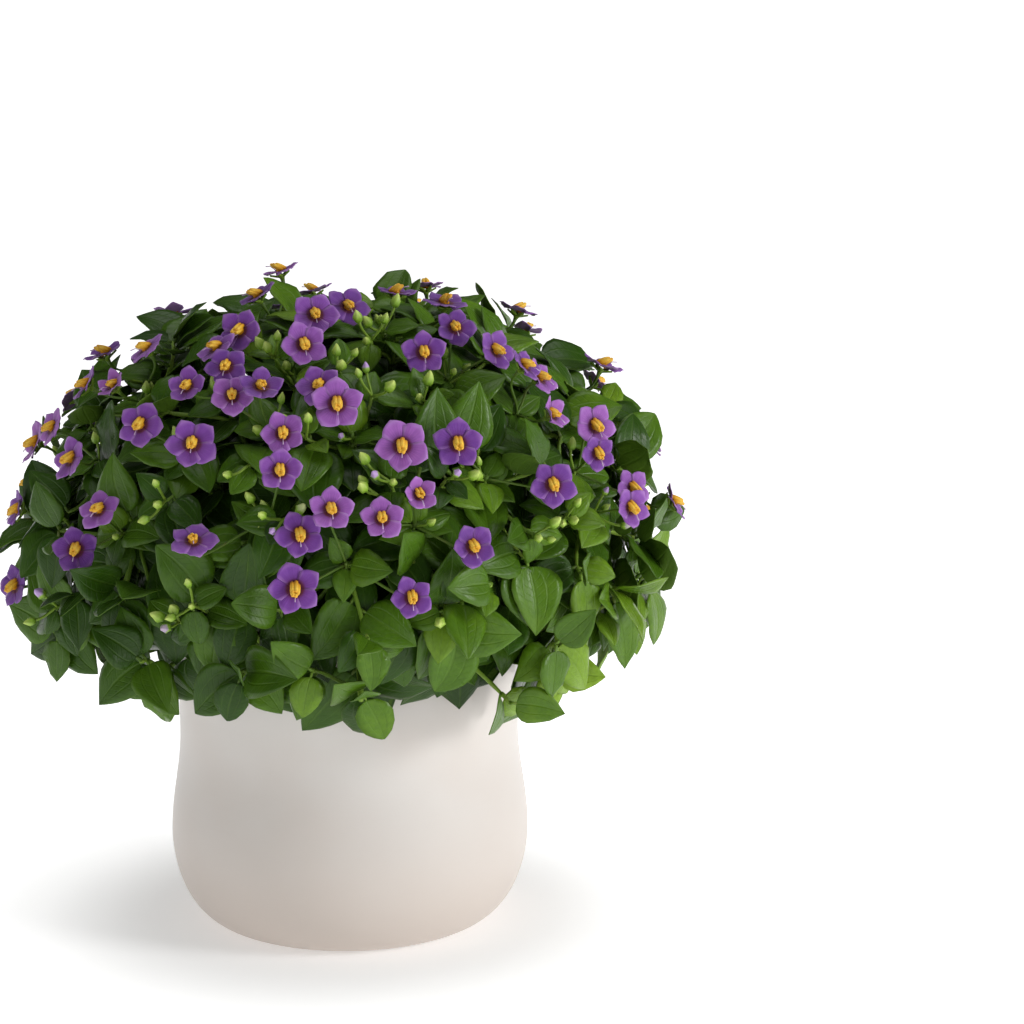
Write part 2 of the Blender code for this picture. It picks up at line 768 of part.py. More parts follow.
def clear_leaf(thicket, rng, place, size, own):
    """The first try that is clear of everything, or nothing."""
    for attempt in range(LEAF_TRIES):
        leaf = leaf_try(rng, *place, size, attempt)
        if least_rise(leaf, place[2]) < LEAST_RISE:
            continue
        if thicket.hits(*slab(*leaf_sheet(leaf, ROOT_PLACE), BLADE / 2 + CLEARANCE), lambda f: f[:2] != own):
            continue
        if thicket.hits(*slab(*leaf_sheet(leaf, CLEAR_PLACE), BLADE / 2 + CLEARANCE), lambda f: f[:2] == own):
            continue
        return leaf
    return None


def place_leaves(thicket, stems):
    """Leaves in crossed pairs on every shoot, each tried until it is clear of the rest."""
    for k, stem in enumerate(stems):
        for shoot in stem["shoots"]:
            own = (stem_name(k), shoot["number"])
            rings = shoot_rings(shoot["controls"], shoot["spin"])
            bare, pairs = shoot_form(shoot["controls"][3])
            for pair in range(pairs):
                row = len(bare) + 2 * (pairs - 1 - pair)
                heading = bezier_heading(shoot["controls"], PAIR_PLACES[pair])
                for side in (pair % 2, pair % 2 + 2):
                    rng = random.Random(f"{SEED} leaf {shoot['number']} {pair} {side}")
                    corners = [rings[row + i][(side + j) % SHOOT_SIDES] for i in (0, 1) for j in (0, 1)]
                    root = sum(corners, Vector()) / 4
                    middle = sum(rings[row] + rings[row + 1], Vector()) / 8
                    place = (root, heading, (root - middle).normalized())
                    leaf = clear_leaf(thicket, rng, place, PAIR_SIZES[pair], own)
                    if leaf:
                        shoot["leaves"][row, side] = leaf
                        thicket.add(own + ("leaf",), *slab(*leaf_sheet(leaf, ROOT_PLACE), BLADE / 2))


def grow_plant():
    """The whole plant laid out: its sprays and its stems with their shoots and leaves."""
    thicket = Thicket()
    thicket.add(("pot", ""), *lathe(pot_profile()[1:-1], POT_SIDES))
    thicket.add(("soil", ""), *lathe(soil_profile()[1:3], SOIL_SIDES))
    sprays = place_sprays(thicket)
    stems = place_shoots(thicket, sprays)
    place_leaves(thicket, stems)
    return sprays, stems


def clear_scene():
    for obj in list(bpy.data.objects):
        bpy.data.objects.remove(obj, do_unlink=True)


def new_collection(name):
    collection = bpy.data.collections.new(name)
    bpy.context.scene.collection.children.link(collection)
    return collection


def principled(name, colour, roughness):
    material = bpy.data.materials.new(name)
    material.use_nodes = True
    shader = material.node_tree.nodes["Principled BSDF"]
    shader.inputs["Base Color"].default_value = (*colour, 1)
    shader.inputs["Roughness"].default_value = roughness
    shader.inputs["Metallic"].default_value = 0
    return material


def mesh_object(name, verts, faces, collection, material=None):
    mesh = bpy.data.meshes.new(name)
    mesh.from_pydata([tuple(v) for v in verts], [], faces)
    mesh.validate()
    obj = bpy.data.objects.new(name, mesh)
    collection.objects.link(obj)
    if material:
        mesh.materials.append(material)
    return obj


def turned(name, profile, sides, collection, material):
    """A profile turned about Z by a Screw modifier."""
    verts = [(radius, 0, z) for radius, z in profile]
    mesh = bpy.data.meshes.new(name)
    mesh.from_pydata(verts, [(i, i + 1) for i in range(len(verts) - 1)], [])
    mesh.materials.append(material)
    obj = bpy.data.objects.new(name, mesh)
    collection.objects.link(obj)
    screw = obj.modifiers.new("Turn", "SCREW")
    screw.axis = "Z"
    screw.angle = math.tau
    screw.steps = sides
    screw.render_steps = sides
    screw.use_merge_vertices = True
    screw.merge_threshold = 0.00001
    screw.use_smooth_shade = True
    return obj


def make_pot(collection):
    glaze = principled("cream glaze", (0.80, 0.77, 0.72), 0.35)
    return turned("pot", pot_profile(), POT_SIDES, collection, glaze)


def make_soil(collection, cutters, stems):
    peat = principled("peat soil", (0.05, 0.03, 0.02), 0.95)
    soil = turned("soil", soil_profile(), SOIL_SIDES, collection, peat)
    for k, stem in enumerate(stems):
        foot = stem["path"][0]
        bpy.ops.mesh.primitive_cylinder_add(
            vertices=HOLE_SIDES,
            radius=STEM_RADIUS + HOLE_CLEARANCE,
            depth=2 * HOLE_DEPTH,
            location=(foot.x, foot.y, foot.z - SEAT_GAP + HOLE_DEPTH),
        )
        hole = bpy.context.object
        hole.name = f"hole_{k + 1:02d}"
        for old in hole.users_collection:
            old.objects.unlink(hole)
        cutters.objects.link(hole)
        hole.hide_render = True
        hole.display_type = "WIRE"
    cut = soil.modifiers.new("Stem holes", "BOOLEAN")
    cut.operation = "DIFFERENCE"
    cut.operand_type = "COLLECTION"
    cut.collection = cutters
    cut.solver = "EXACT"
    return soil


def fuse(body, pieces, solver="EXACT"):
    """One Boolean union of the body with a collection of pieces, applied, and the pieces removed."""
    if pieces.objects:
        union = body.modifiers.new("Grown together", "BOOLEAN")
        union.operation = "UNION"
        union.operand_type = "COLLECTION"
        union.collection = pieces
        union.solver = solver
        graph = bpy.context.evaluated_depsgraph_get()
        fused = bpy.data.meshes.new_from_object(body.evaluated_get(graph), depsgraph=graph)
        body.modifiers.clear()
        body.data = fused
    for piece in list(pieces.objects):
        bpy.data.objects.remove(piece, do_unlink=True)
    bpy.data.collections.remove(pieces)
    return body


def shade(obj):
    obj.data.shade_smooth()
    obj.data.set_sharp_from_angle(angle=math.radians(40))


def make_spray(index, spray, collection, violet):
    """One spray: its stalk, if it forks, with a pedicel and a bloom for each."""
    tip, heading, blooms, forked = spray
    pieces = new_collection("pieces")
    shapes = [loft(bloom_rings(*bloom)) for bloom in blooms]
    if forked:
        shapes.insert(0, loft(stalk_rings(tip, heading)))
    body = mesh_object(spray_name(index), *shapes[0], collection, violet)
    for shape in shapes[1:]:
        mesh_object("pedicel and bloom", *shape, pieces, violet)
    fuse(body, pieces, "MANIFOLD")
    shade(body)


def make_stem(index, stem, collection, green):
    """One leafy stem: its foot in the soil, and its leafy shoots grown together with it."""
    pieces = new_collection("pieces")
    body = mesh_object(stem_name(index), *loft(stem_rings(stem["path"])), collection, green)
    for shoot in stem["shoots"]:
        mesh_object("leafy shoot", *leafy_shoot(shoot), pieces, green)
    fuse(body, pieces)
    shade(body)


def main():
    clear_scene()
    parts = new_collection("potted persian violet")
    cutters = new_collection("cutters")
    sprays, stems = grow_plant()
    make_pot(parts)
    make_soil(parts, cutters, stems)
    green = principled("leaf green", (0.10, 0.26, 0.05), 0.45)
    violet = principled("petal violet", (0.24, 0.08, 0.42), 0.6)
    for index, stem in enumerate(stems):
        make_stem(index, stem, parts, green)
    for index, spray in enumerate(sprays):
        make_spray(index, spray, parts, violet)
    leaves = sum(len(shoot["leaves"]) for stem in stems for shoot in stem["shoots"])
    shoots = sum(len(stem["shoots"]) for stem in stems)
    blooms = sum(len(spray[2]) for spray in sprays)
    print(f"{len(stems)} stems, {shoots} shoots, {leaves} leaves, {len(sprays)} sprays, {blooms} blooms")


main()
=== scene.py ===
"""The looks of a potted persian violet: glazed pot, peat, leafy stems and sprays of violet bloom.

Metres, +Z up, in the frame's own place. The layout of shoots, leaves and blooms is the frame's.
"""

import json
import math
import random

import bpy
import numpy as np
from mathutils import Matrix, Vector, noise
from mathutils.bvhtree import BVHTree

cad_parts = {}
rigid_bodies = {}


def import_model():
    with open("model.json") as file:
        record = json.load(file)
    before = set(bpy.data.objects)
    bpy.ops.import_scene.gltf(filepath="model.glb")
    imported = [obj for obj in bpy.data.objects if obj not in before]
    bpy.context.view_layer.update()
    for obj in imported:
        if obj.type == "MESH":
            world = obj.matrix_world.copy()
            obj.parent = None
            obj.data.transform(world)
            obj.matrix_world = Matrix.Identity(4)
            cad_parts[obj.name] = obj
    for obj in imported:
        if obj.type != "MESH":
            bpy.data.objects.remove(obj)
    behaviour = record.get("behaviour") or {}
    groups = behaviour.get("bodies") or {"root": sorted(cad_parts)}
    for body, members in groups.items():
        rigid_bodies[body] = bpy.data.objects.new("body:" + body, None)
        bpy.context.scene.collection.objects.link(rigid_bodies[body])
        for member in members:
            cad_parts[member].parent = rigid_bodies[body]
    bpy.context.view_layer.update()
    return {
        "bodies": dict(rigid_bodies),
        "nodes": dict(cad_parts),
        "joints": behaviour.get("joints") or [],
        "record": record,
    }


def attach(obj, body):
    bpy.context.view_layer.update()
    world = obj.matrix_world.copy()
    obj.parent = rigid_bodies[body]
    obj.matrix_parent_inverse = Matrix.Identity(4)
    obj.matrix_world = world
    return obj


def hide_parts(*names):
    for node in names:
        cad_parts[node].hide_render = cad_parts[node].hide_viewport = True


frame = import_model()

MM = 0.001
SEED = 11
GOLDEN_ANGLE = math.pi * (3 - math.sqrt(5))
UP = Vector((0, 0, 1))

# Pot: a rounded foot, a full belly, a slight waist and a lip as thick as the wall
POT_HEIGHT = 110 * MM
BASE_RADIUS = 42 * MM
BELLY_RADIUS = 61 * MM
BELLY_Z = 31 * MM
WAIST_RADIUS = 57.6 * MM
WAIST_Z = 66 * MM
LIP_RADIUS = 58.4 * MM
WALL = 4.5 * MM
FLOOR = 6 * MM
POT_SIDES = 32
OUTSIDE_STEPS = 6
INSIDE_STEPS = 3

# Soil: it fills the pot to a finger's width below the lip
SOIL_TOP = 97 * MM
SOIL_DOME = 2 * MM
SOIL_GAP = 0.45 * MM
SOIL_INSET = WALL + SOIL_GAP
SOIL_SIDES = 32
HOLE_DEPTH = 28 * MM

# Crown: the surface that the blooms stand on, widest a little above the lip
CROWN_RADIUS = 112 * MM
CROWN_Z = 120 * MM
CROWN_TOP = 217 * MM
CROWN_DEPTH = 60 * MM
CROWN_POWER = 2.3
SKIRT_Z = 96 * MM
SKIRT_TIP_Z = 103 * MM

# The photograph's view of the pot, which turns a picture point into a line of sight
EYE = Vector((55.6, -960.4, 326.5)) * MM
PITCH = math.radians(11)
FOCAL_PIXELS = 2900
MIDDLE_PIXEL = 512
VIEW_RIGHT = Vector((1, 0, 0))
VIEW_UP = Vector((0, math.sin(PITCH), math.cos(PITCH)))
VIEW_AHEAD = Vector((0, math.cos(PITCH), -math.sin(PITCH)))
NEAREST_DEPTH = 800 * MM
FARTHEST_DEPTH = 1150 * MM
DEPTH_STEP = 1 * MM

# Blooms seen in the photograph: column and row of the middle in pixels, how far the face
# turns to the right and up from the viewer (1 is edge-on), and its size as a share
SEEN_BLOOMS = (
    (280, 271, -0.30, 0.93, 0.9),
    (257, 296, -0.50, 0.80, 0.9),
    (240, 331, -0.45, 0.35, 1.0),
    (315, 315, 0.10, 0.45, 1.0),
    (304, 345, 0.15, 0.30, 1.0),
    (216, 348, -0.50, 0.70, 0.9),
    (226, 367, -0.20, 0.40, 0.9),
    (187, 387, -0.30, 0.50, 0.9),
    (232, 396, 0.00, 0.40, 0.9),
    (261, 387, 0.10, 0.72, 1.0),
    (146, 349, -0.60, 0.72, 0.9),
    (86, 385, -0.83, 0.50, 0.9),
    (113, 386, -0.60, 0.60, 0.7),
    (140, 425, -0.35, 0.30, 1.0),
    (192, 444, -0.10, 0.40, 1.1),
    (283, 434, 0.00, 0.30, 0.95),
    (280, 471, 0.00, 0.25, 0.95),
    (52, 428, -0.80, 0.35, 0.9),
    (71, 459, -0.72, 0.30, 1.0),
    (18, 510, -0.90, 0.20, 0.9),
    (99, 510, -0.40, 0.50, 0.95),
    (76, 550, -0.25, 0.20, 1.0),
    (193, 541, 0.00, 0.75, 1.0),
    (300, 535, 0.05, 0.20, 1.0),
    (331, 510, 0.10, 0.40, 1.0),
    (15, 586, -0.75, 0.10, 0.95),
    (295, 589, 0.00, 0.10, 1.05),
    (337, 404, 0.05, 0.25, 1.1),
    (319, 386, -0.20, 0.50, 0.95),
    (348, 307, 0.20, 0.60, 1.0),
    (396, 293, 0.10, 0.97, 0.9),
    (445, 303, 0.10, 0.93, 1.0),
    (455, 328, 0.20, 0.45, 0.9),
    (424, 353, 0.10, 0.30, 0.95),
    (496, 351, 0.60, 0.40, 0.95),
    (540, 378, 0.75, 0.50, 0.9),
    (525, 366, 0.70, 0.60, 0.85),
    (552, 415, 0.80, 0.40, 0.75),
    (595, 426, 0.50, 0.20, 1.0),
    (598, 454, 0.40, 0.10, 0.8),
    (402, 446, 0.00, 0.20, 1.1),
    (458, 444, 0.10, 0.20, 1.05),
    (553, 485, 0.20, 0.20, 1.0),
    (419, 495, 0.30, 0.30, 0.7),
    (382, 519, 0.05, 0.35, 0.9),
    (473, 547, 0.30, 0.25, 0.95),
    (633, 489, 0.60, 0.20, 0.9),
    (631, 508, 0.60, 0.10, 0.9),
    (412, 598, 0.10, 0.15, 0.9),
)

# Blooms on the side away from the viewer, spread by the golden angle
BACK_SAMPLES = 66
BACK_FACING = 0.06
BACK_LOWEST = 128 * MM
BACK_LIFT = 0.35
BACK_SCATTER = 0.3

# One bloom: five petals, a cone of anthers and a slim pedicel
BLOOM_RADIUS = 9.3 * MM
PETALS = 5
NOTCH_SHARE = 0.56
PETAL_RISE = 0.16
PETAL_THICKNESS = 0.8 * MM
THROAT_RADIUS = 1.9 * MM
ANTHER_HEIGHT = 4.2 * MM
CUP_DEPTH = 2.2 * MM
PEDICEL_RADIUS = 0.65 * MM
PEDICEL_SIDES = 3
PEDICEL_STEPS = 1
CUP_RADIUS = 1 * MM

# Sprays: neighbouring blooms share one stalk, which starts on a shoot's tip
SPRAY_MOST = 3
SPRAY_REACH = 36 * MM
SPRAY_ROOT_DEPTH = 16 * MM
STALK_LENGTH = 4 * MM
STALK_RADIUS = 1 * MM
FORK_PLACES = (0.72, 0.56, 0.4)
SEAT_GAP = 0.35 * MM

# Shoots: one under each spray, a skirt of them that arch over the lip, and leafy ones in gaps
SKIRT_SHOOTS = 16
SKIRT_RADIUS = 86 * MM
SKIRT_STAGGER = 5 * MM
SHOOT_SAMPLES = 60
SHOOT_SPACING = 28 * MM
SHOOT_DEPTH = 10 * MM
SHOOT_RADIUS = 1.15 * MM
SHOOT_SIDES = 4
SKIRT_BARE_PLACES = (0, 0.42)
UPPER_BARE_PLACES = (0,)
STEMS = 10
STEM_SPREAD = 36 * MM
STEM_RADIUS = 1.9 * MM
STEM_SIDES = 4
FORK_Z = 119 * MM
FORK_RADIUS = 1.5 * MM

# Leaves: ovate and acute, in crossed pairs on the upper part of each shoot
LEAF_LENGTH = 28 * MM
LEAF_WIDTH = 21 * MM
BLADE = 0.7 * MM
PAIR_PLACES = (0.95, 0.83, 0.70)
PAIR_SIZES = (0.88, 1.05, 1.05)
UPPER_PAIRS = 2
SKIRT_PAIRS = 3
SKIRT_FROM = 0.72
NODE_HALF = 0.9 * MM
ROOT_PLACE = 0.03
CLEAR_PLACE = 0.13
LEAST_LEAN = 0.45
LEAST_RISE = 0.12
WIDEST_PLACE = 0.38
SHOULDER_PLACE = 0.72
SHOULDER_SHARE = 0.76
LEAF_TRIES = 28

# Room kept between pieces, and how often a piece is moved to find it
CLEARANCE = 0.4 * MM
BLOOM_TRIES = 14
BLOOM_SHIFT = 1.6 * MM
SHOOT_TRIES = 40
SHOOT_LOOSENESS = 0.5 * MM
SHOOT_LEAVE = 18 * MM
FINE_CLEARANCE = 0.25 * MM
ROOM_SIDES = 4

# Peat of the finished plant
SOIL_FINE_SIDES = 120
SOIL_RINGS = 36
SOIL_CRUMBS = 340

# Floor and lights: the floor's glow by distance, dim near the pot as a painted contact shadow round its
# foot, and each light's name, place, size and power
FLOOR_RADIUS = 9
FLOOR_SIDES = 96
SWEEP_RADIUS = 1.0
SWEEP_HEIGHT = 1.3
FLOOR_GLOW = ((0.03, 0.28), (0.07, 0.45), (0.12, 0.80), (0.17, 0.85), (4.0, 1.0))
LIT_POINT = Vector((0, 0, 0.12))
LIGHTS = (
    ("key", (1.5, -0.6, 0.65), 0.6, 15),
    ("fill", (-0.9, -1.6, 0.6), 1.4, 0.8),
    ("top", (0.1, 0.1, 1.9), 1.6, 13),
)
ROOM_LIGHT = 0.08

# Fine forms: how finely each is divided, with its thickness, taper, waves and outline
LEAF_GRID = (12, 9)
SMALL_GRID = (8, 5)
SMALL_LEAF = 17 * MM
INNER_LEVEL = 0.72
LEAF_THICKNESS = 0.28 * MM
LEAF_CURL = (-0.25, 0.7)
LEAF_SICKLE = 0.07
LEAF_TWIST = 0.3
LEAF_EDGE_DROP = 0.22
LEAF_QUILTING = 0.012
LEAF_WAVES = (1.2, 2.6)
LEAF_WAVE_HEIGHT = (0.015, 0.055)
PETIOLE_SHARE = 0.08
PETIOLE_RADIUS = 0.6 * MM
SEPAL_KEEL = 0.4 * MM
OUTLINE_BASE = (0.42, 0.54)
OUTLINE_TIP = (0.84, 1.12)
PETAL_ROWS = 8
PETAL_COLUMNS = 11
PETAL_SKIN = 0.22 * MM
PETAL_HALF_ANGLE = math.radians(41)
PETAL_NOTCH = (0.62, 0.76)
PETAL_ROUNDING = (1.2, 1.75)
SHOOT_STEPS = 20
SHOOT_TAPER = (1.3 * MM, 0.8 * MM)
TWIG_STEPS = 10
TWIG_TAPER = (0.8 * MM, 0.55 * MM)
SWELLING = 0.22
SWELLING_REACH = 0.02
FINE_SHOOT_SIDES = 7
POT_FINE_SIDES = 160

# Leaves above the skirt are a little smaller than the frame's, and bow where they leave the
# crown; added ones turn to the window
UPPER_FIT = 0.88
FREE_LEVEL = 1.03
BEYOND_SHRINK = 1.2
BEYOND_BOW = 2.5
WINDOW = Vector((0.35, -0.75, 0.55))
WINDOW_SHARE = 0.75
YOUNG_SHARE = 0.35

# Foliage that only the finished plant has: lower pairs, tip rosettes and side twigs in the gaps
EXTRA_PLACES = (0.60, 0.49, 0.38, 0.28, 0.20)
EXTRA_SIZES = (1.0, 0.95, 0.95, 0.9, 0.85)
ROSETTE_PLACES = (0.975, 0.99)
ROSETTE_SIZES = (0.62, 0.45)
EXTRA_TRIES = 14
GAP_LOWEST = SKIRT_Z - 8 * MM
GAP_LAYERS = (
    # samples, depth and its spread, the least way to the next leaf, leaf sizes
    (700, 8 * MM, (0.8, 1.7), 13.5 * MM, (0.5, 0.8)),
    (420, 24 * MM, (0.8, 1.2), 14 * MM, (0.7, 1.0)),
    (260, 42 * MM, (0.8, 1.2), 14 * MM, (0.8, 1.0)),
)

# Lines of sight that added leaves close: through pixels from the eye, and in a grid from all sides
SIGHT_COLUMNS = (8, 700, 6)
SIGHT_ROWS = (272, 728, 6)
SIGHT_START = 790 * MM
SIGHT_TURNS = 12
SIGHT_RISES = (0.03, 0.2, 0.75)
SIGHT_SPACING = 6.5 * MM
SIGHT_GRID_ACROSS = (-17, 18)
SIGHT_GRID_UP = (-12, 18)
SIGHT_BACK = 140 * MM
SIGHT_STEP = 7 * MM
SIGHT_STEPS = 42
SIGHT_LEVEL = 0.9
SIGHT_LOWEST = 116 * MM
SIGHT_DEPTH = 0.62
SIGHT_TRIES = 8
SIGHT_REACH = 24 * MM
SIGHT_SIZES = (0.75, 1.0)

# Side twigs and the places on shoots and twigs that can carry one more leaf
CARRIER_PLACES = (0.3, 0.45, 0.6, 0.75, 0.9)
CARRIER_TRIES = 5
TWIG_LONGEST = 60 * MM
TWIG_RADIUS = 0.7 * MM
TWIG_BEND = 0.35
TWIG_CLEAR_FROM = 0.12
TWIG_BARE_BELOW = 30 * MM
TWIG_PLACES = (0.55, 0.70, 0.85, 1.0)
TWIG_ROOTS = (0.35, 0.5, 0.65, 0.8, 0.92)

# Buds, ribbed and pointed, and the small bracts under the blooms of a spray
BUD_LENGTH = 4.7 * MM
BUD_RADIUS = 1.5 * MM
BUD_RIBS = 5
BUD_OUTLINE = ((0.35, 0), (0.85, 0.1), (1.0, 0.3), (0.93, 0.5), (0.64, 0.72), (0.3, 0.9), (0.05, 1.0))
BUD_TRIES = 8
BUD_STALK = (4 * MM, 10 * MM)
BUDS_ON_SPRAY = (1, 3)
BUDS_ABOVE = 118 * MM
SEEN_BUD_DEPTH = 8 * MM
SEEN_BUD_LEAVES = (0.4, 0.6)
BRACT_SIZES = (0.60, 0.46)
BRACT_SPREAD = (0.8, 1.25)
BRACT_WINDOW_SHARE = 0.3
SEEN_BUDS = (
    (270, 335), (337, 349), (303, 424), (294, 403), (374, 378), (428, 384), (372, 318), (384, 308),
    (400, 314), (395, 474), (381, 488), (493, 476), (595, 494), (150, 494), (277, 515), (551, 532),
    (34, 610), (585, 512), (455, 470), (180, 610), (165, 627), (244, 452),
)

# Open blooms: the share of the frame's corolla that the petals fill, when one is half-open, how
# far petals lift, the room kept free in front, and the anthers' lean and outline
FINE_BLOOM = 0.86
HALF_OPEN = 0.78
HALF_OPEN_LIFT = 2.6
OPEN_LIFT = (0.6, 1.7)
OPEN_DEPTHS = (4 * MM, 8 * MM, 12 * MM)
OPEN_SHARE = 0.75
ANTHER_LEAN = 0.8
ANTHER_OUTLINE = ((0, 0.3), (0.12, 0.66), (0.4, 0.76), (0.75, 0.7), (0.95, 0.5), (1, 0.2))

LEAF, STEM, BUD = range(3)
PETAL, ANTHER, STYLE = range(3, 6)


def pot_outside(z):
    """The pot's outer radius at a height above its belly."""
    if z < WAIST_Z:
        ease = 0.5 + 0.5 * math.cos(math.pi * (z - BELLY_Z) / (WAIST_Z - BELLY_Z))
        return WAIST_RADIUS + (BELLY_RADIUS - WAIST_RADIUS) * ease
    rise = (z - WAIST_Z) / (POT_HEIGHT - WAIST_Z)
    return WAIST_RADIUS + (LIP_RADIUS - WAIST_RADIUS) * rise * rise


def spaced(first, last, steps):
    """Evenly spaced values from first to last."""
    return [first + (last - first) * i / steps for i in range(steps + 1)]


def pot_side(inset, steps):
    """The pot's side from under the lip to the foot, moved inwards by inset, as (radius, z)."""
    points = [(pot_outside(z) - inset, z) for z in spaced(POT_HEIGHT - WALL / 2, BELLY_Z, steps)]
    for angle in spaced(0, math.pi / 2, steps)[1:]:
        radius = BASE_RADIUS + (BELLY_RADIUS - BASE_RADIUS) * math.cos(angle)
        points.append((radius - inset * math.cos(angle), BELLY_Z * (1 - math.sin(angle))))
    return points


def polar(radius, angle, z=0.0):
    """A point at a radius and an angle round the upright axis."""
    return Vector((radius * math.cos(angle), radius * math.sin(angle), z))


def pot_profile(inside_steps, lip_steps, outside_steps, lowest):
    """Up the inside from a lowest height, over the lip and down the outside, as (radius, z)."""
    inside = [p for p in pot_side(WALL, inside_steps) if p[1] > lowest]
    half = WALL / 2
    middle = pot_outside(POT_HEIGHT - half) - half
    lip = [(middle + half * math.cos(angle), POT_HEIGHT - half + half * math.sin(angle))
           for angle in spaced(math.pi, 0, lip_steps)[1:-1]]
    return inside[::-1] + lip + pot_side(0, outside_steps)


def soil_side(steps, lowest, highest):
    """The side of the plug of soil between two heights, from the top down, as (radius, z)."""
    return [p for p in pot_side(SOIL_INSET, steps) if lowest < p[1] < highest]


def soil_edge():
    """The radius of the soil's upper edge."""
    return pot_outside(SOIL_TOP) - SOIL_INSET


def crown_share(z):
    """How far a height lies from the crown's widest level, as a share of the way to its end."""
    height = z - CROWN_Z
    return abs(height) / (CROWN_TOP - CROWN_Z if height > 0 else CROWN_DEPTH)


def crown_level(point):
    """1 on the crown's surface, less inside it and more outside."""
    across = math.hypot(point.x, point.y) / CROWN_RADIUS
    return (across**CROWN_POWER + crown_share(point.z) ** CROWN_POWER) ** (1 / CROWN_POWER)


def crown_normal(point):
    """The way out of the crown at a point."""
    step = 0.5 * MM
    slope = [crown_level(point + axis * step) - crown_level(point - axis * step)
             for axis in (Vector((1, 0, 0)), Vector((0, 1, 0)), UP)]
    return Vector(slope).normalized()


def sight_line(column, row):
    """The direction from the eye through a pixel, one unit deep."""
    across = (column - MIDDLE_PIXEL) / FOCAL_PIXELS
    above = (MIDDLE_PIXEL - row) / FOCAL_PIXELS
    return VIEW_RIGHT * across + VIEW_UP * above + VIEW_AHEAD


def seen_on_crown(column, row):
    """Where a pixel's line of sight first meets the crown, or passes nearest to it."""
    line = sight_line(column, row)
    nearest = None
    depth = NEAREST_DEPTH
    while depth < FARTHEST_DEPTH:
        point = EYE + line * depth
        level = crown_level(point)
        if level < 1:
            return point
        if nearest is None or level < nearest[0]:
            nearest = (level, point)
        depth += DEPTH_STEP
    return nearest[1]


def seen_blooms():
    """The photographed blooms as (centre, facing, radius, line of sight)."""
    blooms = []
    for column, row, turn, lift, size in SEEN_BLOOMS:
        line = sight_line(column, row).normalized()
        toward = math.sqrt(max(0, 1 - turn * turn - lift * lift))
        facing = VIEW_RIGHT * turn + VIEW_UP * lift - line * toward
        blooms.append((seen_on_crown(column, row), facing.normalized(), BLOOM_RADIUS * size, line))
    return blooms


def crown_samples(count, lowest):
    """Points of the crown's surface from its top down to a height, spread by the golden angle."""
    for i in range(count):
        z = CROWN_TOP - (CROWN_TOP - lowest) * (i + 0.5) / count
        radius = CROWN_RADIUS * (1 - min(crown_share(z), 1) ** CROWN_POWER) ** (1 / CROWN_POWER)
        yield polar(radius, i * GOLDEN_ANGLE, z)


def sunk(point, depth):
    """The place a depth below a point of the crown's surface."""
    return point - crown_normal(point) * depth


def jitter(rng, reach):
    """A random step of at most reach along each axis."""
    return Vector([rng.uniform(-reach, reach) for _ in range(3)])


def back_blooms():
    """Blooms on the side that the photograph doesn't show, in the same form."""
    rng = random.Random(SEED)
    blooms = []
    for point in crown_samples(BACK_SAMPLES, BACK_LOWEST):
        normal = crown_normal(point)
        facing = (normal + UP * BACK_LIFT + jitter(rng, BACK_SCATTER)).normalized()
        radius = BLOOM_RADIUS * rng.uniform(0.85, 1.08)
        if normal.dot((EYE - point).normalized()) <= BACK_FACING:
            blooms.append((point, facing, radius, normal))
    return blooms


def group_blooms(blooms):
    """Blooms that stand near each other, as lists of at most SPRAY_MOST."""
    groups = []
    for bloom in blooms:
        best = None
        for group in groups:
            far = max((bloom[0] - other[0]).length for other in group)
            if len(group) < SPRAY_MOST and far < SPRAY_REACH and (best is None or far < best[0]):
                best = (far, group)
        if best:
            best[1].append(bloom)
        else:
            groups.append([bloom])
    return groups


def skirt_share(z):
    """0 at the top of the crown, 1 at its skirt."""
    return min(1, max(0, (CROWN_TOP - z) / (CROWN_TOP - SKIRT_Z)))


def arch_control(tip):
    """The point that a shoot heads for before it turns to its tip, above the lip for a low one."""
    low = skirt_share(tip.z)
    inward = 0.86 - 0.22 * low
    return Vector((tip.x * inward, tip.y * inward, tip.z - 28 * MM + 50 * MM * low * low))


def bezier_point(controls, t):
    a, b, c, d = controls
    s = 1 - t
    return a * s**3 + b * (3 * s * s * t) + c * (3 * s * t * t) + d * t**3


def bezier_heading(controls, t):
    a, b, c, d = controls
    s = 1 - t
    return ((b - a) * s * s + (c - b) * (2 * s * t) + (d - c) * t * t).normalized()


def perpendicular(direction):
    other = UP if abs(direction.z) < 0.8 else Vector((1, 0, 0))
    return direction.cross(other).normalized()


def ring(centre, side, direction, radius, count, spin=0.0):
    """Points round a centre, in the plane across a direction."""
    other = direction.cross(side)
    points = []
    for i in range(count):
        angle = spin + math.tau * i / count
        points.append(centre + side * (radius * math.cos(angle)) + other * (radius * math.sin(angle)))
    return points


def tube_rings(path, headings, radii, sides, spin=0.0):
    """Rings along a path, carried from each point to the next without a twist."""
    rings = []
    side = perpendicular(headings[0])
    before = headings[0]
    for point, heading, radius in zip(path, headings, radii):
        side = before.rotation_difference(heading) @ side
        rings.append(ring(point, side, heading, radius, sides, spin))
        before = heading
    return rings


def loft(rings):
    """A closed skin through rings that may differ in their number of points."""
    verts = [point for points in rings for point in points]
    faces = []
    start = 0
    if len(rings[0]) > 2:
        faces.append(tuple(reversed(range(len(rings[0])))))
    for lower, upper in zip(rings, rings[1:]):
        n, m = len(lower), len(upper)
        i = j = 0
        while i < n or j < m:
            a = start + i % n
            b = start + n + j % m
            if m == 1 or (i < n and (i + 1) * m <= (j + 1) * n):
                if i == n:
                    break
                faces.append((a, start + (i + 1) % n, b))
                i += 1
            else:
                faces.append((a, start + n + (j + 1) % m, b))
                j += 1
        start += n
    if len(rings[-1]) > 2:
        faces.append(tuple(range(start, start + len(rings[-1]))))
    return verts, faces


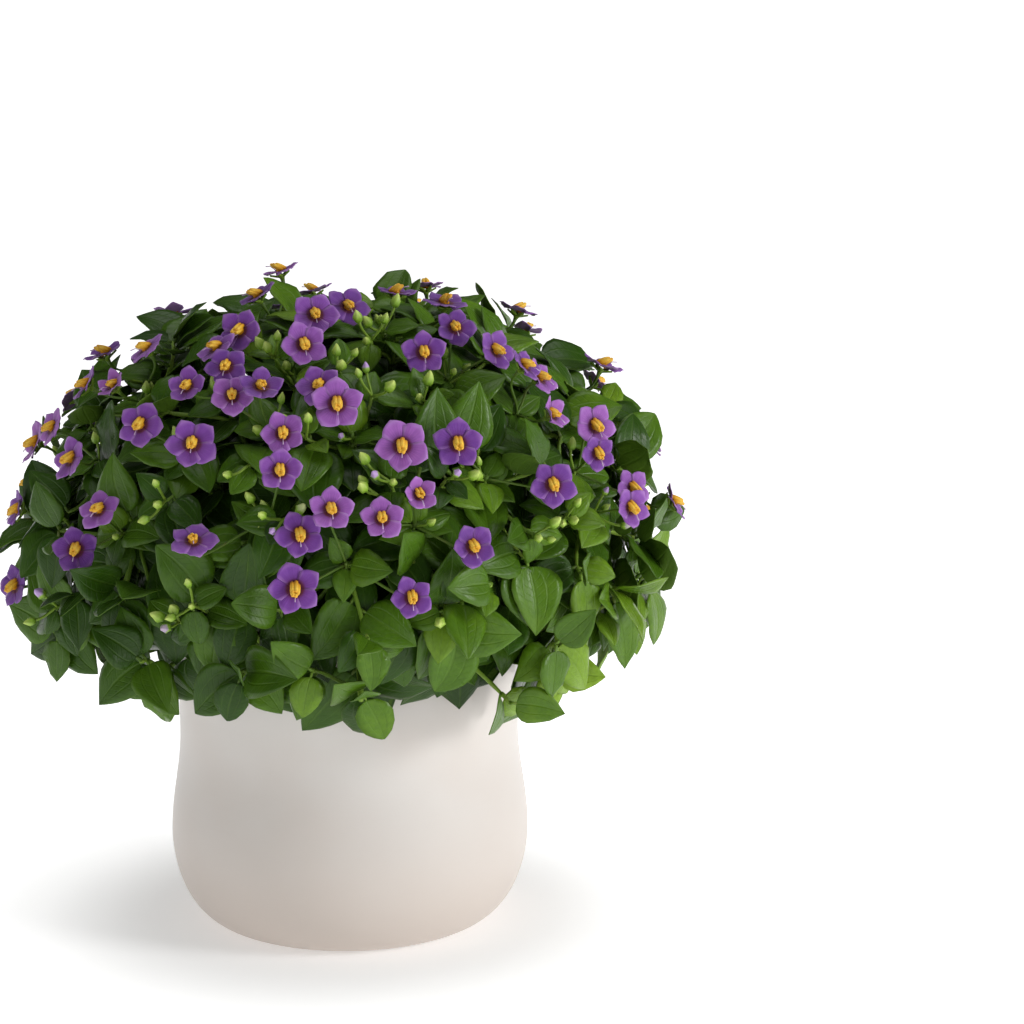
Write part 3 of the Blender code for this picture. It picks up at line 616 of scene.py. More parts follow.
def corolla_rings(centre, facing, radius, side, grow):
    """The open bloom's rings, from the cup under the petals to the anthers' tip."""
    edge = radius + grow
    notch = edge * NOTCH_SHARE
    half = PETAL_THICKNESS / 2 + grow
    other = facing.cross(side)
    under, over = [], []
    for i in range(2 * PETALS):
        angle = math.pi * i / PETALS
        reach = notch if i % 2 else edge
        rise = 0 if i % 2 else radius * PETAL_RISE
        flat = centre + side * (reach * math.cos(angle)) + other * (reach * math.sin(angle))
        under.append(flat + facing * (rise - half))
        over.append(flat + facing * (rise + half))
    throat = ring(centre + facing * half, side, facing, THROAT_RADIUS + grow, PETALS)
    tip = [centre + facing * (ANTHER_HEIGHT + grow)]
    return [under, over, throat, tip]


def numbered(kind, index):
    """The name of a stem's or a spray's node in the frame."""
    return f"{kind}_{index + 1:02d}"


def arch_heading(tip):
    """The way that a shoot comes to its tip."""
    return (tip - arch_control(tip)).normalized()


def traced(controls, places):
    """The points and headings at places along a curve."""
    return [bezier_point(controls, t) for t in places], [bezier_heading(controls, t) for t in places]


def spoke(heading, side, angle):
    """The direction across a heading at an angle from its side."""
    return side * math.cos(angle) + heading.cross(side) * math.sin(angle)


def bloom_rings(bloom, root, heading, grow=0.0):
    """A whole bloom from its pedicel's root to its anthers."""
    centre, facing, radius, _ = bloom
    cup = centre - facing * CUP_DEPTH
    reach = (cup - root).length * 0.45
    controls = (root, root + heading * reach, cup - facing * reach, cup)
    path, headings = traced(controls, spaced(0, 1, PEDICEL_STEPS))
    radii = [PEDICEL_RADIUS + grow] * PEDICEL_STEPS + [CUP_RADIUS + grow]
    pedicel = tube_rings(path, headings[:-1] + [facing], radii, PEDICEL_SIDES)
    side = (pedicel[-1][0] - cup).normalized()
    return pedicel + corolla_rings(centre, facing, radius, side, grow)


def stalk_rings(tip, heading):
    """The short stalk that a forked spray starts with."""
    path = [tip + heading * SEAT_GAP, tip + heading * (SEAT_GAP + STALK_LENGTH)]
    return tube_rings(path, [heading] * 2, [STALK_RADIUS] * 2, PEDICEL_SIDES)


def leaf_point(leaf, across, along):
    """A point of a blade: across from -1 to 1 in leaf widths, along from 0 at its root to 1."""
    root, axis, face, length, width, fold, droop = leaf
    side = axis.cross(face)
    turn = droop * along
    middle = root + axis * (length * math.sin(turn) / droop)
    middle = middle - face * (length * (1 - math.cos(turn)) / droop)
    lift = face * math.cos(turn) + axis * math.sin(turn)
    half = width / 2 * across
    return middle + side * (half * math.cos(fold)) + lift * (abs(half) * math.sin(fold))


def leaf_sheet(leaf, start):
    """The coarse blade without its thickness: start pair, widest pair, shoulder pair and tip."""
    rows = ((start / WIDEST_PLACE, start), (1, WIDEST_PLACE), (SHOULDER_SHARE, SHOULDER_PLACE))
    verts = [leaf_point(leaf, share * side, place) for share, place in rows for side in (1, -1)]
    verts.append(leaf_point(leaf, 0, 1))
    return verts, [(0, 2, 1), (1, 2, 3), (2, 4, 3), (3, 4, 5), (5, 4, 6)]


def shoot_form(tip):
    """The places of a shoot's bare rings, and how many pairs of leaves it has."""
    if skirt_share(tip.z) > SKIRT_FROM:
        return SKIRT_BARE_PLACES, SKIRT_PAIRS
    return UPPER_BARE_PLACES, UPPER_PAIRS


def shoot_rings(controls, spin, grow=0.0):
    """A shoot's rings: bare ones, then two close together for each pair of leaves, then its tip."""
    length = sum((b - a).length for a, b in zip(controls, controls[1:]))
    half = NODE_HALF / length
    bare, pairs = shoot_form(controls[3])
    places = list(bare)
    for place in reversed(PAIR_PLACES[:pairs]):
        places += [place - half, place + half]
    places.append(1)
    return tube_rings(*traced(controls, places), [SHOOT_RADIUS + grow] * len(places), SHOOT_SIDES, spin)


def slab(verts, faces, half):
    """A sheet thickened by half on each side, with walls round its edge."""
    normals = [Vector() for _ in verts]
    edges = {}
    for face in faces:
        a, b, c = (verts[i] for i in face)
        normal = (b - a).cross(c - a)
        for i, j in zip(face, face[1:] + face[:1]):
            normals[i] += normal
            if (j, i) in edges:
                del edges[(j, i)]
            else:
                edges[(i, j)] = True
    normals = [n.normalized() for n in normals]
    top = [v + n * half for v, n in zip(verts, normals)]
    bottom = [v - n * half for v, n in zip(verts, normals)]
    count = len(verts)
    shell = [tuple(face) for face in faces]
    shell += [tuple(i + count for i in reversed(face)) for face in faces]
    shell += [(j, i, i + count, j + count) for i, j in edges]
    return top + bottom, shell


def leaf_slab(leaf, start, half):
    """The coarse blade from its start place, thickened by half on each side."""
    return slab(*leaf_sheet(leaf, start), half)


def ball(verts):
    """The middle of some points, and the farthest way from it to one of them."""
    centre = sum(verts, Vector()) / len(verts)
    return centre, max((v - centre).length for v in verts)


class Thicket:
    """Everything placed so far, which each new form has to stay clear of.

    A form is a pair of points and faces, and its family says what it belongs to.
    """

    def __init__(self):
        self.pieces = []

    def add(self, family, form):
        self.pieces.append((family, *ball(form[0]), BVHTree.FromPolygons(*form)))

    def hits(self, form, wanted=lambda family: True):
        """Whether the form crosses any placed one whose family is wanted."""
        centre, reach = ball(form[0])
        tree = None
        for family, other, far, placed in self.pieces:
            if (centre - other).length > reach + far or not wanted(family):
                continue
            tree = tree or BVHTree.FromPolygons(*form)
            if tree.overlap(placed):
                return True
        return False


def spray_root(group):
    """The shoot tip under a group of blooms, and the way its stalk starts."""
    tip = sunk(sum((bloom[0] for bloom in group), Vector()) / len(group), SPRAY_ROOT_DEPTH)
    return tip, arch_heading(tip)


def place_sprays(thicket):
    """Sprays as (tip, heading, blooms, forked), each bloom moved along its line until clear."""
    sprays = []
    for group in group_blooms(seen_blooms() + back_blooms()):
        tip, heading = spray_root(group)
        forked = len(group) > 1
        name = numbered("spray", len(sprays))
        start = tip + heading * SEAT_GAP
        if forked:
            thicket.add((name, "stalk"), loft(stalk_rings(tip, heading)))
        placed = []
        for place, (centre, facing, radius, line) in zip(FORK_PLACES, group):
            root = start + heading * (STALK_LENGTH * place) if forked else start
            for attempt in range(BLOOM_TRIES):
                shift = (attempt + 1) // 2 * (-1) ** attempt * BLOOM_SHIFT
                bloom = (centre + line * shift, facing, radius, line)
                aim = (bloom[0] - root).normalized() if forked else heading
                rings = bloom_rings(bloom, root, aim, CLEARANCE)
                if thicket.hits(loft(rings), lambda family: family[0] != name):
                    continue
                if thicket.hits(loft(rings[-5:]), lambda family: family[0] == name):
                    continue
                placed.append((bloom, root, aim))
                thicket.add((name, "bloom"), loft(bloom_rings(bloom, root, aim)))
                break
        if placed:
            sprays.append((tip, heading, placed, forked))
    return sprays


def shoot_tips(sprays):
    """A tip under each spray, those of the skirt, then leafy tips in the gaps between them."""
    tips = [(tip, heading, i) for i, (tip, heading, *_) in enumerate(sprays)]
    for i in range(SKIRT_SHOOTS):
        stagger = SKIRT_STAGGER * (-1) ** i
        angle = math.tau * (i + 0.25) / SKIRT_SHOOTS
        tip = polar(SKIRT_RADIUS + stagger, angle, SKIRT_TIP_Z - stagger)
        tips.append((tip, arch_heading(tip), None))
    for surface in crown_samples(SHOOT_SAMPLES, SKIRT_Z):
        tip = sunk(surface, SHOOT_DEPTH)
        if min((tip - other[0]).length for other in tips) > SHOOT_SPACING:
            tips.append((tip, arch_heading(tip), None))
    return tips


def stem_places():
    """Where the stems stand in the soil, spread by the golden angle."""
    return [polar(STEM_SPREAD * math.sqrt((k + 0.5) / STEMS), k * GOLDEN_ANGLE) for k in range(STEMS)]


def stem_path(place):
    """A stem from the bottom of its hole, straight up and then leaning out a little."""
    foot = SOIL_TOP + SOIL_DOME - HOLE_DEPTH + SEAT_GAP
    return [
        place + UP * foot,
        place + UP * (SOIL_TOP + SOIL_DOME + 2 * MM),
        place * 1.12 + UP * FORK_Z,
    ]


def nearest_stem(tip, places):
    """The stem whose place suits a shoot's tip: a middle one for the top, an outer one for the skirt."""
    flat = Vector((tip.x, tip.y, 0))
    wish = flat.normalized() * (STEM_SPREAD * skirt_share(tip.z) ** 0.8)
    return min(range(len(places)), key=lambda k: (places[k] - wish).length)


def stem_rings(path):
    """A stem's rings, thinner at its fork."""
    headings = [UP, UP, (path[2] - path[1]).normalized()]
    return tube_rings(path, headings, [STEM_RADIUS, STEM_RADIUS, FORK_RADIUS], STEM_SIDES)


def shoot_try(rng, stem, tip, heading, attempt):
    """One way for a shoot to leave its stem and reach its tip, looser at each attempt."""
    bend, top = stem["path"][1:]
    lean = (top - bend).normalized()
    start = bend + (top - bend) * rng.uniform(0.2, 0.92)
    loose = jitter(rng, attempt * SHOOT_LOOSENESS)
    leave = start + (lean * 0.6 + (tip - start).normalized() * 0.4) * SHOOT_LEAVE + loose
    reach = (tip - arch_control(tip)).length * rng.uniform(0.7, 1.15)
    return start, leave, tip - heading * reach, tip


def place_shoots(thicket, sprays):
    """Stems and their shoots, lowest first."""
    places = stem_places()
    stems = [{"path": stem_path(place), "shoots": [], "twigs": []} for place in places]
    for k, stem in enumerate(stems):
        thicket.add((numbered("stem", k), "stem"), loft(stem_rings(stem["path"])))
    tips = sorted(shoot_tips(sprays), key=lambda t: t[0].z)
    for number, (tip, heading, spray) in enumerate(tips):
        rng = random.Random(f"{SEED} shoot {number}")
        k = nearest_stem(tip, places)
        name = numbered("stem", k)
        own_spray = None if spray is None else numbered("spray", spray)
        spin = rng.uniform(0, math.tau)
        for attempt in range(SHOOT_TRIES):
            controls = shoot_try(rng, stems[k], tip, heading, attempt)
            rings = shoot_rings(controls, spin)
            wide = loft(shoot_rings(controls, spin, CLEARANCE))
            if thicket.hits(wide, lambda family: family[0] not in (name, own_spray)):
                continue
            if thicket.hits(loft(rings), lambda family: family[0] == own_spray):
                continue
            strict = attempt < SHOOT_TRIES // 2
            if strict and thicket.hits(loft(rings[1:]), lambda family: family[0] == name):
                continue
            shoot = {"controls": controls, "spin": spin, "number": number, "leaves": {}}
            stems[k]["shoots"].append(shoot)
            thicket.add((name, number), loft(rings))
            break
    return stems


def leaf_try(rng, root, heading, outward, size, attempt):
    """One way for a leaf to grow from its place on a shoot."""
    ease = attempt / LEAF_TRIES
    out = crown_normal(root)
    low = skirt_share(root.z)
    down = 0.1 + 0.95 * low * low + rng.uniform(-0.2, 0.3)
    lift = 0.75 + rng.uniform(-0.3, 0.3) - 0.45 * low * low
    axis = outward * 0.95 + out * lift - UP * down + jitter(rng, 0.25 + 0.5 * ease)
    axis = axis.normalized()
    lack = LEAST_LEAN - axis.dot(outward)
    if lack > 0:
        axis = (axis + outward * lack * 1.5).normalized()
    face = out * 0.8 + UP * (0.75 - 0.6 * low) + heading * 0.4
    face += jitter(rng, 0.3)
    face = (face - axis * face.dot(axis)).normalized()
    size *= rng.uniform(0.88, 1.1) * (1 - 0.3 * ease)
    fold = math.radians(rng.uniform(6, 18))
    droop = math.radians(rng.uniform(15, 50))
    return root, axis, face, LEAF_LENGTH * size, LEAF_WIDTH * size * rng.uniform(0.92, 1.08), fold, droop


def least_rise(leaf, outward):
    """How steeply the lower of a blade's two edges rises from the face that it grows on."""
    edges = [leaf_point(leaf, side, WIDEST_PLACE) - leaf[0] for side in (1, -1)]
    return min(edge.normalized().dot(outward) for edge in edges)


def clear_leaf(thicket, rng, place, size, own):
    """The first try that is clear of everything, or nothing."""
    for attempt in range(LEAF_TRIES):
        leaf = leaf_try(rng, *place, size, attempt)
        room = BLADE / 2 + CLEARANCE
        rooted, free = (leaf_slab(leaf, start, room) for start in (ROOT_PLACE, CLEAR_PLACE))
        if least_rise(leaf, place[2]) < LEAST_RISE:
            continue
        if thicket.hits(rooted, lambda family: family[:2] != own):
            continue
        if not thicket.hits(free, lambda family: family[:2] == own):
            return leaf
    return None


def place_leaves(thicket, stems):
    """Leaves in crossed pairs on every shoot, each tried until it is clear of the rest."""
    for k, stem in enumerate(stems):
        for shoot in stem["shoots"]:
            own = (numbered("stem", k), shoot["number"])
            rings = shoot_rings(shoot["controls"], shoot["spin"])
            bare, pairs = shoot_form(shoot["controls"][3])
            for pair in range(pairs):
                row = len(bare) + 2 * (pairs - 1 - pair)
                heading = bezier_heading(shoot["controls"], PAIR_PLACES[pair])
                middle = sum(rings[row] + rings[row + 1], Vector()) / 8
                for side in (pair % 2, pair % 2 + 2):
                    rng = random.Random(f"{SEED} leaf {shoot['number']} {pair} {side}")
                    corners = [rings[row + i][(side + j) % SHOOT_SIDES] for i in (0, 1) for j in (0, 1)]
                    root = sum(corners, Vector()) / 4
                    place = (root, heading, (root - middle).normalized())
                    leaf = clear_leaf(thicket, rng, place, PAIR_SIZES[pair], own)
                    if leaf:
                        shoot["leaves"][row, side] = leaf
                        thicket.add(own + ("leaf",), leaf_slab(leaf, ROOT_PLACE, BLADE / 2))


def closed_sheet(rows, columns):
    """Faces of a thin blade whose upper points, then lower points, are grids of rows by columns."""
    def at(row, column, under):
        return under * rows * columns + row * columns + column
    faces = []
    for r in range(rows - 1):
        for c in range(columns - 1):
            upper = (at(r, c, 0), at(r, c + 1, 0), at(r + 1, c + 1, 0), at(r + 1, c, 0))
            faces.append(upper)
            faces.append(tuple(i + rows * columns for i in reversed(upper)))
    rim = [(0, c) for c in range(columns - 1)] + [(r, columns - 1) for r in range(rows - 1)]
    rim += [(rows - 1, c) for c in range(columns - 1, 0, -1)] + [(r, 0) for r in range(rows - 1, 0, -1)]
    for (r, c), (r2, c2) in zip(rim, rim[1:] + rim[:1]):
        faces.append((at(r2, c2, 0), at(r, c, 0), at(r, c, 1), at(r2, c2, 1)))
    return faces


def tube_skin(rings, closed=True):
    """Points and faces of rings that have the same number of points, with flat ends if closed."""
    sides = len(rings[0])
    points = [point for points in rings for point in points]
    faces = []
    for start in range(0, len(points) - sides, sides):
        for i in range(sides):
            j = (i + 1) % sides
            faces.append((start + i, start + j, start + sides + j, start + sides + i))
    if closed:
        ends = range(sides), range(len(points) - sides, len(points))
        faces = [tuple(reversed(ends[0])), *faces, tuple(ends[1])]
    return points, faces


class Skin:
    """Points, faces and point values gathered for one piece.

    A point's values are its form's tone, its places across and along it, and 1 on an upper side.
    """

    def __init__(self):
        self.points = []
        self.values = []
        self.faces = []
        self.slots = []
        self.count = 0

    def add(self, points, faces, slot=0, tone=0.5, across=0.5, along=0.5, upper=1.0):
        points = np.asarray(points, float).reshape(-1, 3)
        values = np.empty((len(points), 4))
        for column, value in enumerate((tone, across, along, upper)):
            values[:, column] = np.ravel(value)
        self.points.append(points)
        self.values.append(values)
        self.faces += [tuple(i + self.count for i in face) for face in faces]
        self.slots += [slot] * len(faces)
        self.count += len(points)

    def sheet(self, upper, down, slot, tone, across, along):
        """A thin blade: a grid of points, the way down to its lower side, and values for the grid."""
        rows, columns = upper.shape[:2]
        both = np.concatenate([upper.reshape(-1, 3), (upper + down).reshape(-1, 3)])
        across, along = (np.tile(np.broadcast_to(value, (rows, columns, 1)).ravel(), 2)
                         for value in (across, along))
        side = np.repeat((1.0, 0.0), rows * columns)
        self.add(both, closed_sheet(rows, columns), slot, tone, across * 0.5 + 0.5, along, side)

    def tube(self, path, radii, sides, slot, tone=0.5, headings=None, along=None):
        """A round tube along a path, closed at both ends."""
        if headings is None:
            steps = [(b - a).normalized() for a, b in zip(path, path[1:])]
            bends = [(a + b).normalized() for a, b in zip(steps, steps[1:])]
            headings = [steps[0], *bends, steps[-1]]
        rings = tube_rings(path, headings, radii, sides)
        places = 0.5 if along is None else np.repeat(along, sides)
        self.add(*tube_skin(rings), slot, tone, along=places)

    def piece(self, name, materials, slot, node):
        """The finished object, which stands for its node of the frame."""
        mesh = bpy.data.meshes.new(name)
        mesh.from_pydata(np.concatenate(self.points).tolist(), [], self.faces)
        mesh.polygons.foreach_set("material_index", self.slots)
        form = mesh.attributes.new("form", "FLOAT_COLOR", "POINT")
        form.data.foreach_set("color", np.concatenate(self.values).ravel())
        piece = shown(name, mesh, materials)
        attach(piece, "root")
        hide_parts(node)


def shown(name, mesh, materials):
    """A new smooth object of the scene."""
    for material in materials:
        mesh.materials.append(material)
    mesh.shade_smooth()
    piece = bpy.data.objects.new(name, mesh)
    bpy.context.scene.collection.objects.link(piece)
    return piece


def fitted(leaf):
    """The leaf at the finished plant's size, drawn in and bowed where it would leave the crown."""
    root, axis, face, length, width, fold, droop = leaf
    low = skirt_share(root.z)
    beyond = max(0, crown_level(leaf_point(leaf, 0, 1)) - FREE_LEVEL)
    size = (UPPER_FIT + (1 - UPPER_FIT) * low * low) / (1 + BEYOND_SHRINK * beyond)
    return root, axis, face, length * size, width * size, fold, droop + BEYOND_BOW * beyond


def leaf_outline(along, base, tip):
    """Half-width of a blade as a share of its greatest, rounded at the base and acute at the tip."""
    widest = base / (base + tip)
    return along**base * (1 - along) ** tip / (widest**base * (1 - widest) ** tip)


def add_leaf(skin, leaf, rng, tone):
    """A folded, arched and slightly waved leaf on its short stalk."""
    stalk_root, stalk_axis, face, length, width, fold, droop = fitted(leaf)
    root, axis, face = (np.array(v) for v in (stalk_root, stalk_axis, face))
    side = np.cross(axis, face)
    small = length < SMALL_LEAF
    inner = crown_level(leaf_point(leaf, 0, 0.6)) < INNER_LEVEL
    rows, columns = SMALL_GRID if small or inner else LEAF_GRID
    along = ((1 - np.cos(np.pi * np.linspace(0, 1, rows))) / 2)[:, None, None]
    across = np.linspace(-1, 1, columns)[None, :, None]
    place = PETIOLE_SHARE + (1 - PETIOLE_SHARE) * along
    half = width / 2 * leaf_outline(along, rng.uniform(*OUTLINE_BASE), rng.uniform(*OUTLINE_TIP))
    turn = droop * place + rng.uniform(*LEAF_CURL) * place**4
    middle = root + axis * (length * np.sin(droop * place) / droop)
    middle = middle - face * (length * (1 - np.cos(droop * place)) / droop)
    middle = middle + side * (rng.uniform(-LEAF_SICKLE, LEAF_SICKLE) * length * np.sin(np.pi * place))
    lift = face * np.cos(turn) + axis * np.sin(turn)
    bulge = np.sin(np.pi * along)
    rise = half * np.abs(across) ** 1.25 * math.sin(fold)
    rise = rise - half * across**4 * rng.uniform(0, LEAF_EDGE_DROP)
    rise = rise + half * across * np.sin(rng.uniform(-LEAF_TWIST, LEAF_TWIST) * place)
    rise = rise + LEAF_QUILTING * width * bulge * (1 - np.cos(4 * np.pi * across)) / 2
    phase = rng.uniform(0, math.tau) * np.sign(across)
    waves = np.sin(math.tau * rng.uniform(*LEAF_WAVES) * along + phase)
    rise = rise + rng.uniform(*LEAF_WAVE_HEIGHT) * width * across**2 * bulge * waves
    upper = middle + side * (half * across * math.cos(fold)) + lift * rise
    skin.sheet(upper, -lift * LEAF_THICKNESS, LEAF, tone, across, along)
    low, high = (Vector(middle[i, 0] - lift[i, 0] * (0.3 * MM)) for i in (0, 1))
    radius = PETIOLE_RADIUS * (0.7 if small else 1)
    stalk = [stalk_root - stalk_axis * (0.6 * MM), stalk_root.lerp(low, 0.6), high]
    skin.tube(stalk, [radius * 1.25, radius, radius * 0.5], 5, STEM, tone)


def add_shoot(skin, controls, places, tone, taper, steps):
    """A round green shoot, tapered, with a swelling at each pair of leaves."""
    stations = spaced(0, 1, steps)
    base, tip = taper
    radii = []
    for t in stations:
        swelling = sum(math.exp(-(((t - place) / SWELLING_REACH) ** 2)) for place in places)
        radii.append((base + (tip - base) * t) * (1 + SWELLING * min(1, swelling)))
    path, headings = traced(controls, stations)
    skin.tube(path, radii, FINE_SHOOT_SIDES, STEM, tone, headings)


def add_stem(skin, path):
    """The main stem from the soil to its fork."""
    foot, bend, fork = path
    steps = spaced(0, 1, 6)
    line = [foot.lerp(bend, t) for t in steps] + [bend.lerp(fork, t) for t in steps[1:]]
    taper = [STEM_RADIUS + (FORK_RADIUS - STEM_RADIUS) * t for t in steps[1:]]
    skin.tube(line, [STEM_RADIUS] * 7 + taper, 12, STEM, 0.15)


def add_bud(skin, bud, rng):
    """A ribbed ovoid bud on its thin curved stalk."""
    root, foot, heading, size = bud
    tone = rng.random()
    reach = (foot - root).length * 0.4
    leave = root + (foot - root).normalized() * reach
    controls = (root, leave, foot - heading * reach, foot + heading * (0.4 * MM))
    path, headings = traced(controls, spaced(0, 1, 6))
    skin.tube(path, [0.45 * MM] * 6 + [0.6 * MM], 5, STEM, 0.8, headings)
    side = perpendicular(heading)
    rings = []
    for radius, height in BUD_OUTLINE:
        centre = foot + heading * (BUD_LENGTH * size * height)
        points = ring(centre, side, heading, BUD_RADIUS * size * radius, 3 * BUD_RIBS, height)
        shares = (1.14, 0.93, 0.93) * BUD_RIBS
        rings.append([centre + (p - centre) * share for p, share in zip(points, shares)])
    along = np.repeat([height for _, height in BUD_OUTLINE], 3 * BUD_RIBS)
    skin.add(*tube_skin(rings), BUD, tone, along=along)


def add_petal(skin, frame, turn, radius, opening, rng, tone):
    """One broad petal with a small point, laid a little over the next."""
    rows = np.linspace(0, 1, PETAL_ROWS)[:, None, None]
    columns = np.linspace(-1, 1, PETAL_COLUMNS)[None, :, None]
    columns = np.sign(columns) * np.abs(columns) ** 1.25
    notch = rng.uniform(*PETAL_NOTCH)
    shoulder = (1 - np.abs(columns) ** rng.uniform(*PETAL_ROUNDING)) ** 0.85
    reach = notch + (0.93 - notch) * shoulder + 0.07 * np.exp(-np.abs(columns) / 0.18)
    share = 0.12 + (reach - 0.12) * rows
    angle = PETAL_HALF_ANGLE * columns + turn
    z = PETAL_RISE * 1.15 * share**1.6 * (1 - 0.6 * columns**2) * opening
    z = z + 0.05 * columns * share - 0.03 * np.exp(-((columns / 0.22) ** 2)) * share
    z = z - rng.uniform(-0.03, 0.10) * rows**4
    wave = math.tau * rng.uniform(1.0, 1.8) * columns + rng.uniform(0, math.tau)
    z = z + 0.022 * rows**3 * np.sin(wave)
    shrink = 1 - 0.10 * max(0, opening - 1) * share
    flat = [share * shrink * np.cos(angle), share * shrink * np.sin(angle), z]
    centre, basis = frame
    upper = centre + np.concatenate(flat, axis=-1) * radius @ basis
    skin.sheet(upper, -basis[2] * PETAL_SKIN, PETAL, tone, columns, share)


def add_anthers(skin, bloom, side, rng):
    """The golden anthers, which lean down together, and the pale style below them."""
    centre, facing, radius, _ = bloom
    down = -UP - facing * (-UP).dot(facing)
    down = down.normalized() if down.length > 0.05 else side
    size = radius / BLOOM_RADIUS
    height = ANTHER_HEIGHT * size
    radii = [share * size * MM for _, share in ANTHER_OUTLINE]
    steps = [step for step, _ in ANTHER_OUTLINE]
    for k in range(PETALS):
        out = spoke(facing, side, math.tau * (k + 0.5) / PETALS)
        foot = centre + out * (1.05 * MM) - down * (1.5 * MM) + facing * (0.1 * MM)
        lean = (facing * 0.8 + down * ANTHER_LEAN) * (height * rng.uniform(0.9, 1.06))
        top = foot - out * (0.25 * MM) + lean
        skin.tube([foot.lerp(top, t) for t in steps], radii, 7, ANTHER, rng.random(), along=steps)
    throat = [centre - facing * (0.3 * MM), centre + facing * (height * 0.5) + down * (0.4 * MM)]
    skin.tube(throat, [1.7 * MM * size, 0.6 * MM * size], 8, ANTHER, 0.5, along=(0, 0.3))
    start = centre + facing * (0.5 * MM) + down * (1.2 * MM)
    style = [start, start + (facing * 1.9 + down * 1.4) * MM, start + (facing * 2.4 + down * 3.0) * MM]
    skin.tube(style, [0.16 * MM, 0.14 * MM, 0.2 * MM], 5, STYLE)


def add_calyx(skin, bloom, side, tone):
    """Five keeled sepals that clasp the corolla from below."""
    centre, facing, radius, _ = bloom
    cup = centre - facing * CUP_DEPTH
    steps = (0, 0.3, 0.6, 0.85, 1)
    for k in range(PETALS):
        out = spoke(facing, side, math.tau * (k + 0.5) / PETALS)
        across = facing.cross(out)
        rows = []
        for t in steps:
            middle = cup + out * (0.5 * MM + radius * 0.40 * t) + facing * (CUP_DEPTH * 0.74 * t)
            half = radius * 0.13 * (math.sin(math.pi * (0.18 + 0.82 * t)) + 0.02)
            rows.append([middle + across * (half * c) + facing * (abs(c) * SEPAL_KEEL)
                         for c in (-1, 0, 1)])
        down = np.array(facing) * (-0.3 * MM)
        skin.sheet(np.array(rows), down, STEM, tone, 0, np.array(steps)[:, None, None])
    base = [cup - facing * (0.6 * MM), cup + facing * (0.9 * MM)]
    skin.tube(base, [0.8 * MM, 1.3 * MM], 8, STEM, tone)


def add_bloom(skin, bloom, root, aim, rng):
    """One bloom with its stalk, calyx, petals, anthers and style."""
    centre, facing, radius, _ = bloom
    half_open = radius < HALF_OPEN * BLOOM_RADIUS
    tone = 1.0 if half_open else rng.random() ** 1.3
    cup = centre - facing * CUP_DEPTH
    reach = (cup - root).length * 0.45
    controls = (root - aim * (0.4 * MM), root + aim * reach, cup - facing * reach, cup)
    path, headings = traced(controls, spaced(0, 1, 10))
    skin.tube(path, [0.42 * MM] * 9 + [0.55 * MM, 0.9 * MM], 6, STEM, 0.35, headings)
    side = bloom_rings(bloom, root, aim)[-4][0] - centre
    side = (side - facing * side.dot(facing)).normalized()
    add_calyx(skin, bloom, side, 0.8)
    frame = (np.array(centre), np.array([side, facing.cross(side), facing]))
    opening = HALF_OPEN_LIFT if half_open else rng.uniform(*OPEN_LIFT)
    for k in range(PETALS):
        turn = math.tau * k / PETALS + rng.uniform(-0.04, 0.04)
        size = radius * (1 if half_open else FINE_BLOOM) * rng.uniform(0.94, 1.02)
        add_petal(skin, frame, turn, size, opening * rng.uniform(0.85, 1.15), rng, tone)
    add_anthers(skin, bloom, side, rng)


def leaf_tone(rng, leaf, young=False):
    """0 for dark leaves deep in the crown to 1 for yellow-green young ones. Inner leaves are darker,
    partly as real shade leaves and partly as painted shade; painted light brightens the top, the right
    and the lower right, and painted shade darkens the middle band.
    """
    middle = leaf_point(leaf, 0, 0.6)
    # painted shade, beside the real darkness of shade leaves: the deeper in the crown, the darker the
    # tone
    outer = min(1, max(0, (crown_level(middle) - 0.66) / 0.27))
    low = skirt_share(middle.z)
    right = middle.x / CROWN_RADIUS
    # painted light and shade: lighter at the right, the top and the lower right, darker in the middle
    # band
    window = 0.04 * right + (0.06 + 0.45 * max(0, right) * low) * low * low
    window += 0.14 * (1 - low) ** 2 - 0.32 * low * (1 - low)
    age = rng.uniform(0.45, 0.80) if young else rng.gauss(0.42, 0.14)
    return min(1, max(0, age * (0.2 + 0.8 * outer) + window * outer))


def place_on(controls, place, spin, radius):
    """A leaf's place on a round shoot: its root, the shoot's heading and the way out."""
    heading = bezier_heading(controls, place)
    out = spoke(heading, perpendicular(heading), spin)
    return bezier_point(controls, place) + out * radius, heading, out


def loose_leaf(thicket, rng, where, size, own, share=WINDOW_SHARE):
    """A list of the first leaf turned to the window that finds room, empty where none does."""
    for attempt in range(EXTRA_TRIES):
        root, axis, face, *form = leaf_try(rng, *where, size, attempt)
        face = face + WINDOW * share
        leaf = (root, axis, (face - axis * face.dot(axis)).normalized(), *form)
        if not thicket.hits(leaf_slab(leaf, CLEAR_PLACE, FINE_CLEARANCE)):
            thicket.add(own + ("leaf",), leaf_slab(leaf, CLEAR_PLACE, FINE_CLEARANCE / 2))
            return [leaf]
    return []


def clear_bud(thicket, rng, root, heading, own):
    """A list of one stalked bud that found room, as (root, foot, heading, size), or of none."""
    side = perpendicular(heading)
    for _ in range(BUD_TRIES):
        lean = spoke(heading, side, rng.uniform(0, math.tau)) * rng.uniform(0.2, 1.2)
        way = (heading + lean).normalized()
        foot = root + way * rng.uniform(*BUD_STALK)
        top = (way + crown_normal(foot) * 0.5 + UP * 0.3).normalized()
        size = rng.uniform(0.7, 1.15)
        line = [root + way * (2 * MM), foot, foot + top * (BUD_LENGTH * size)]
        radii = [0.7 * MM, BUD_RADIUS * size, BUD_RADIUS * size]
        room = loft(tube_rings(line, [way, top, top], radii, ROOM_SIDES))
        if not thicket.hits(room):
            thicket.add(own + ("bud",), room)
            return [(root, foot, top, size)]
    return []


def pair_spins(rng, index, loose, spin=0.0):
    """Two angles round a shoot, about opposite each other and crossed with those of the pair before."""
    for half in (0, math.pi):
        yield spin + index * math.pi / 2 + half + rng.uniform(-loose, loose)


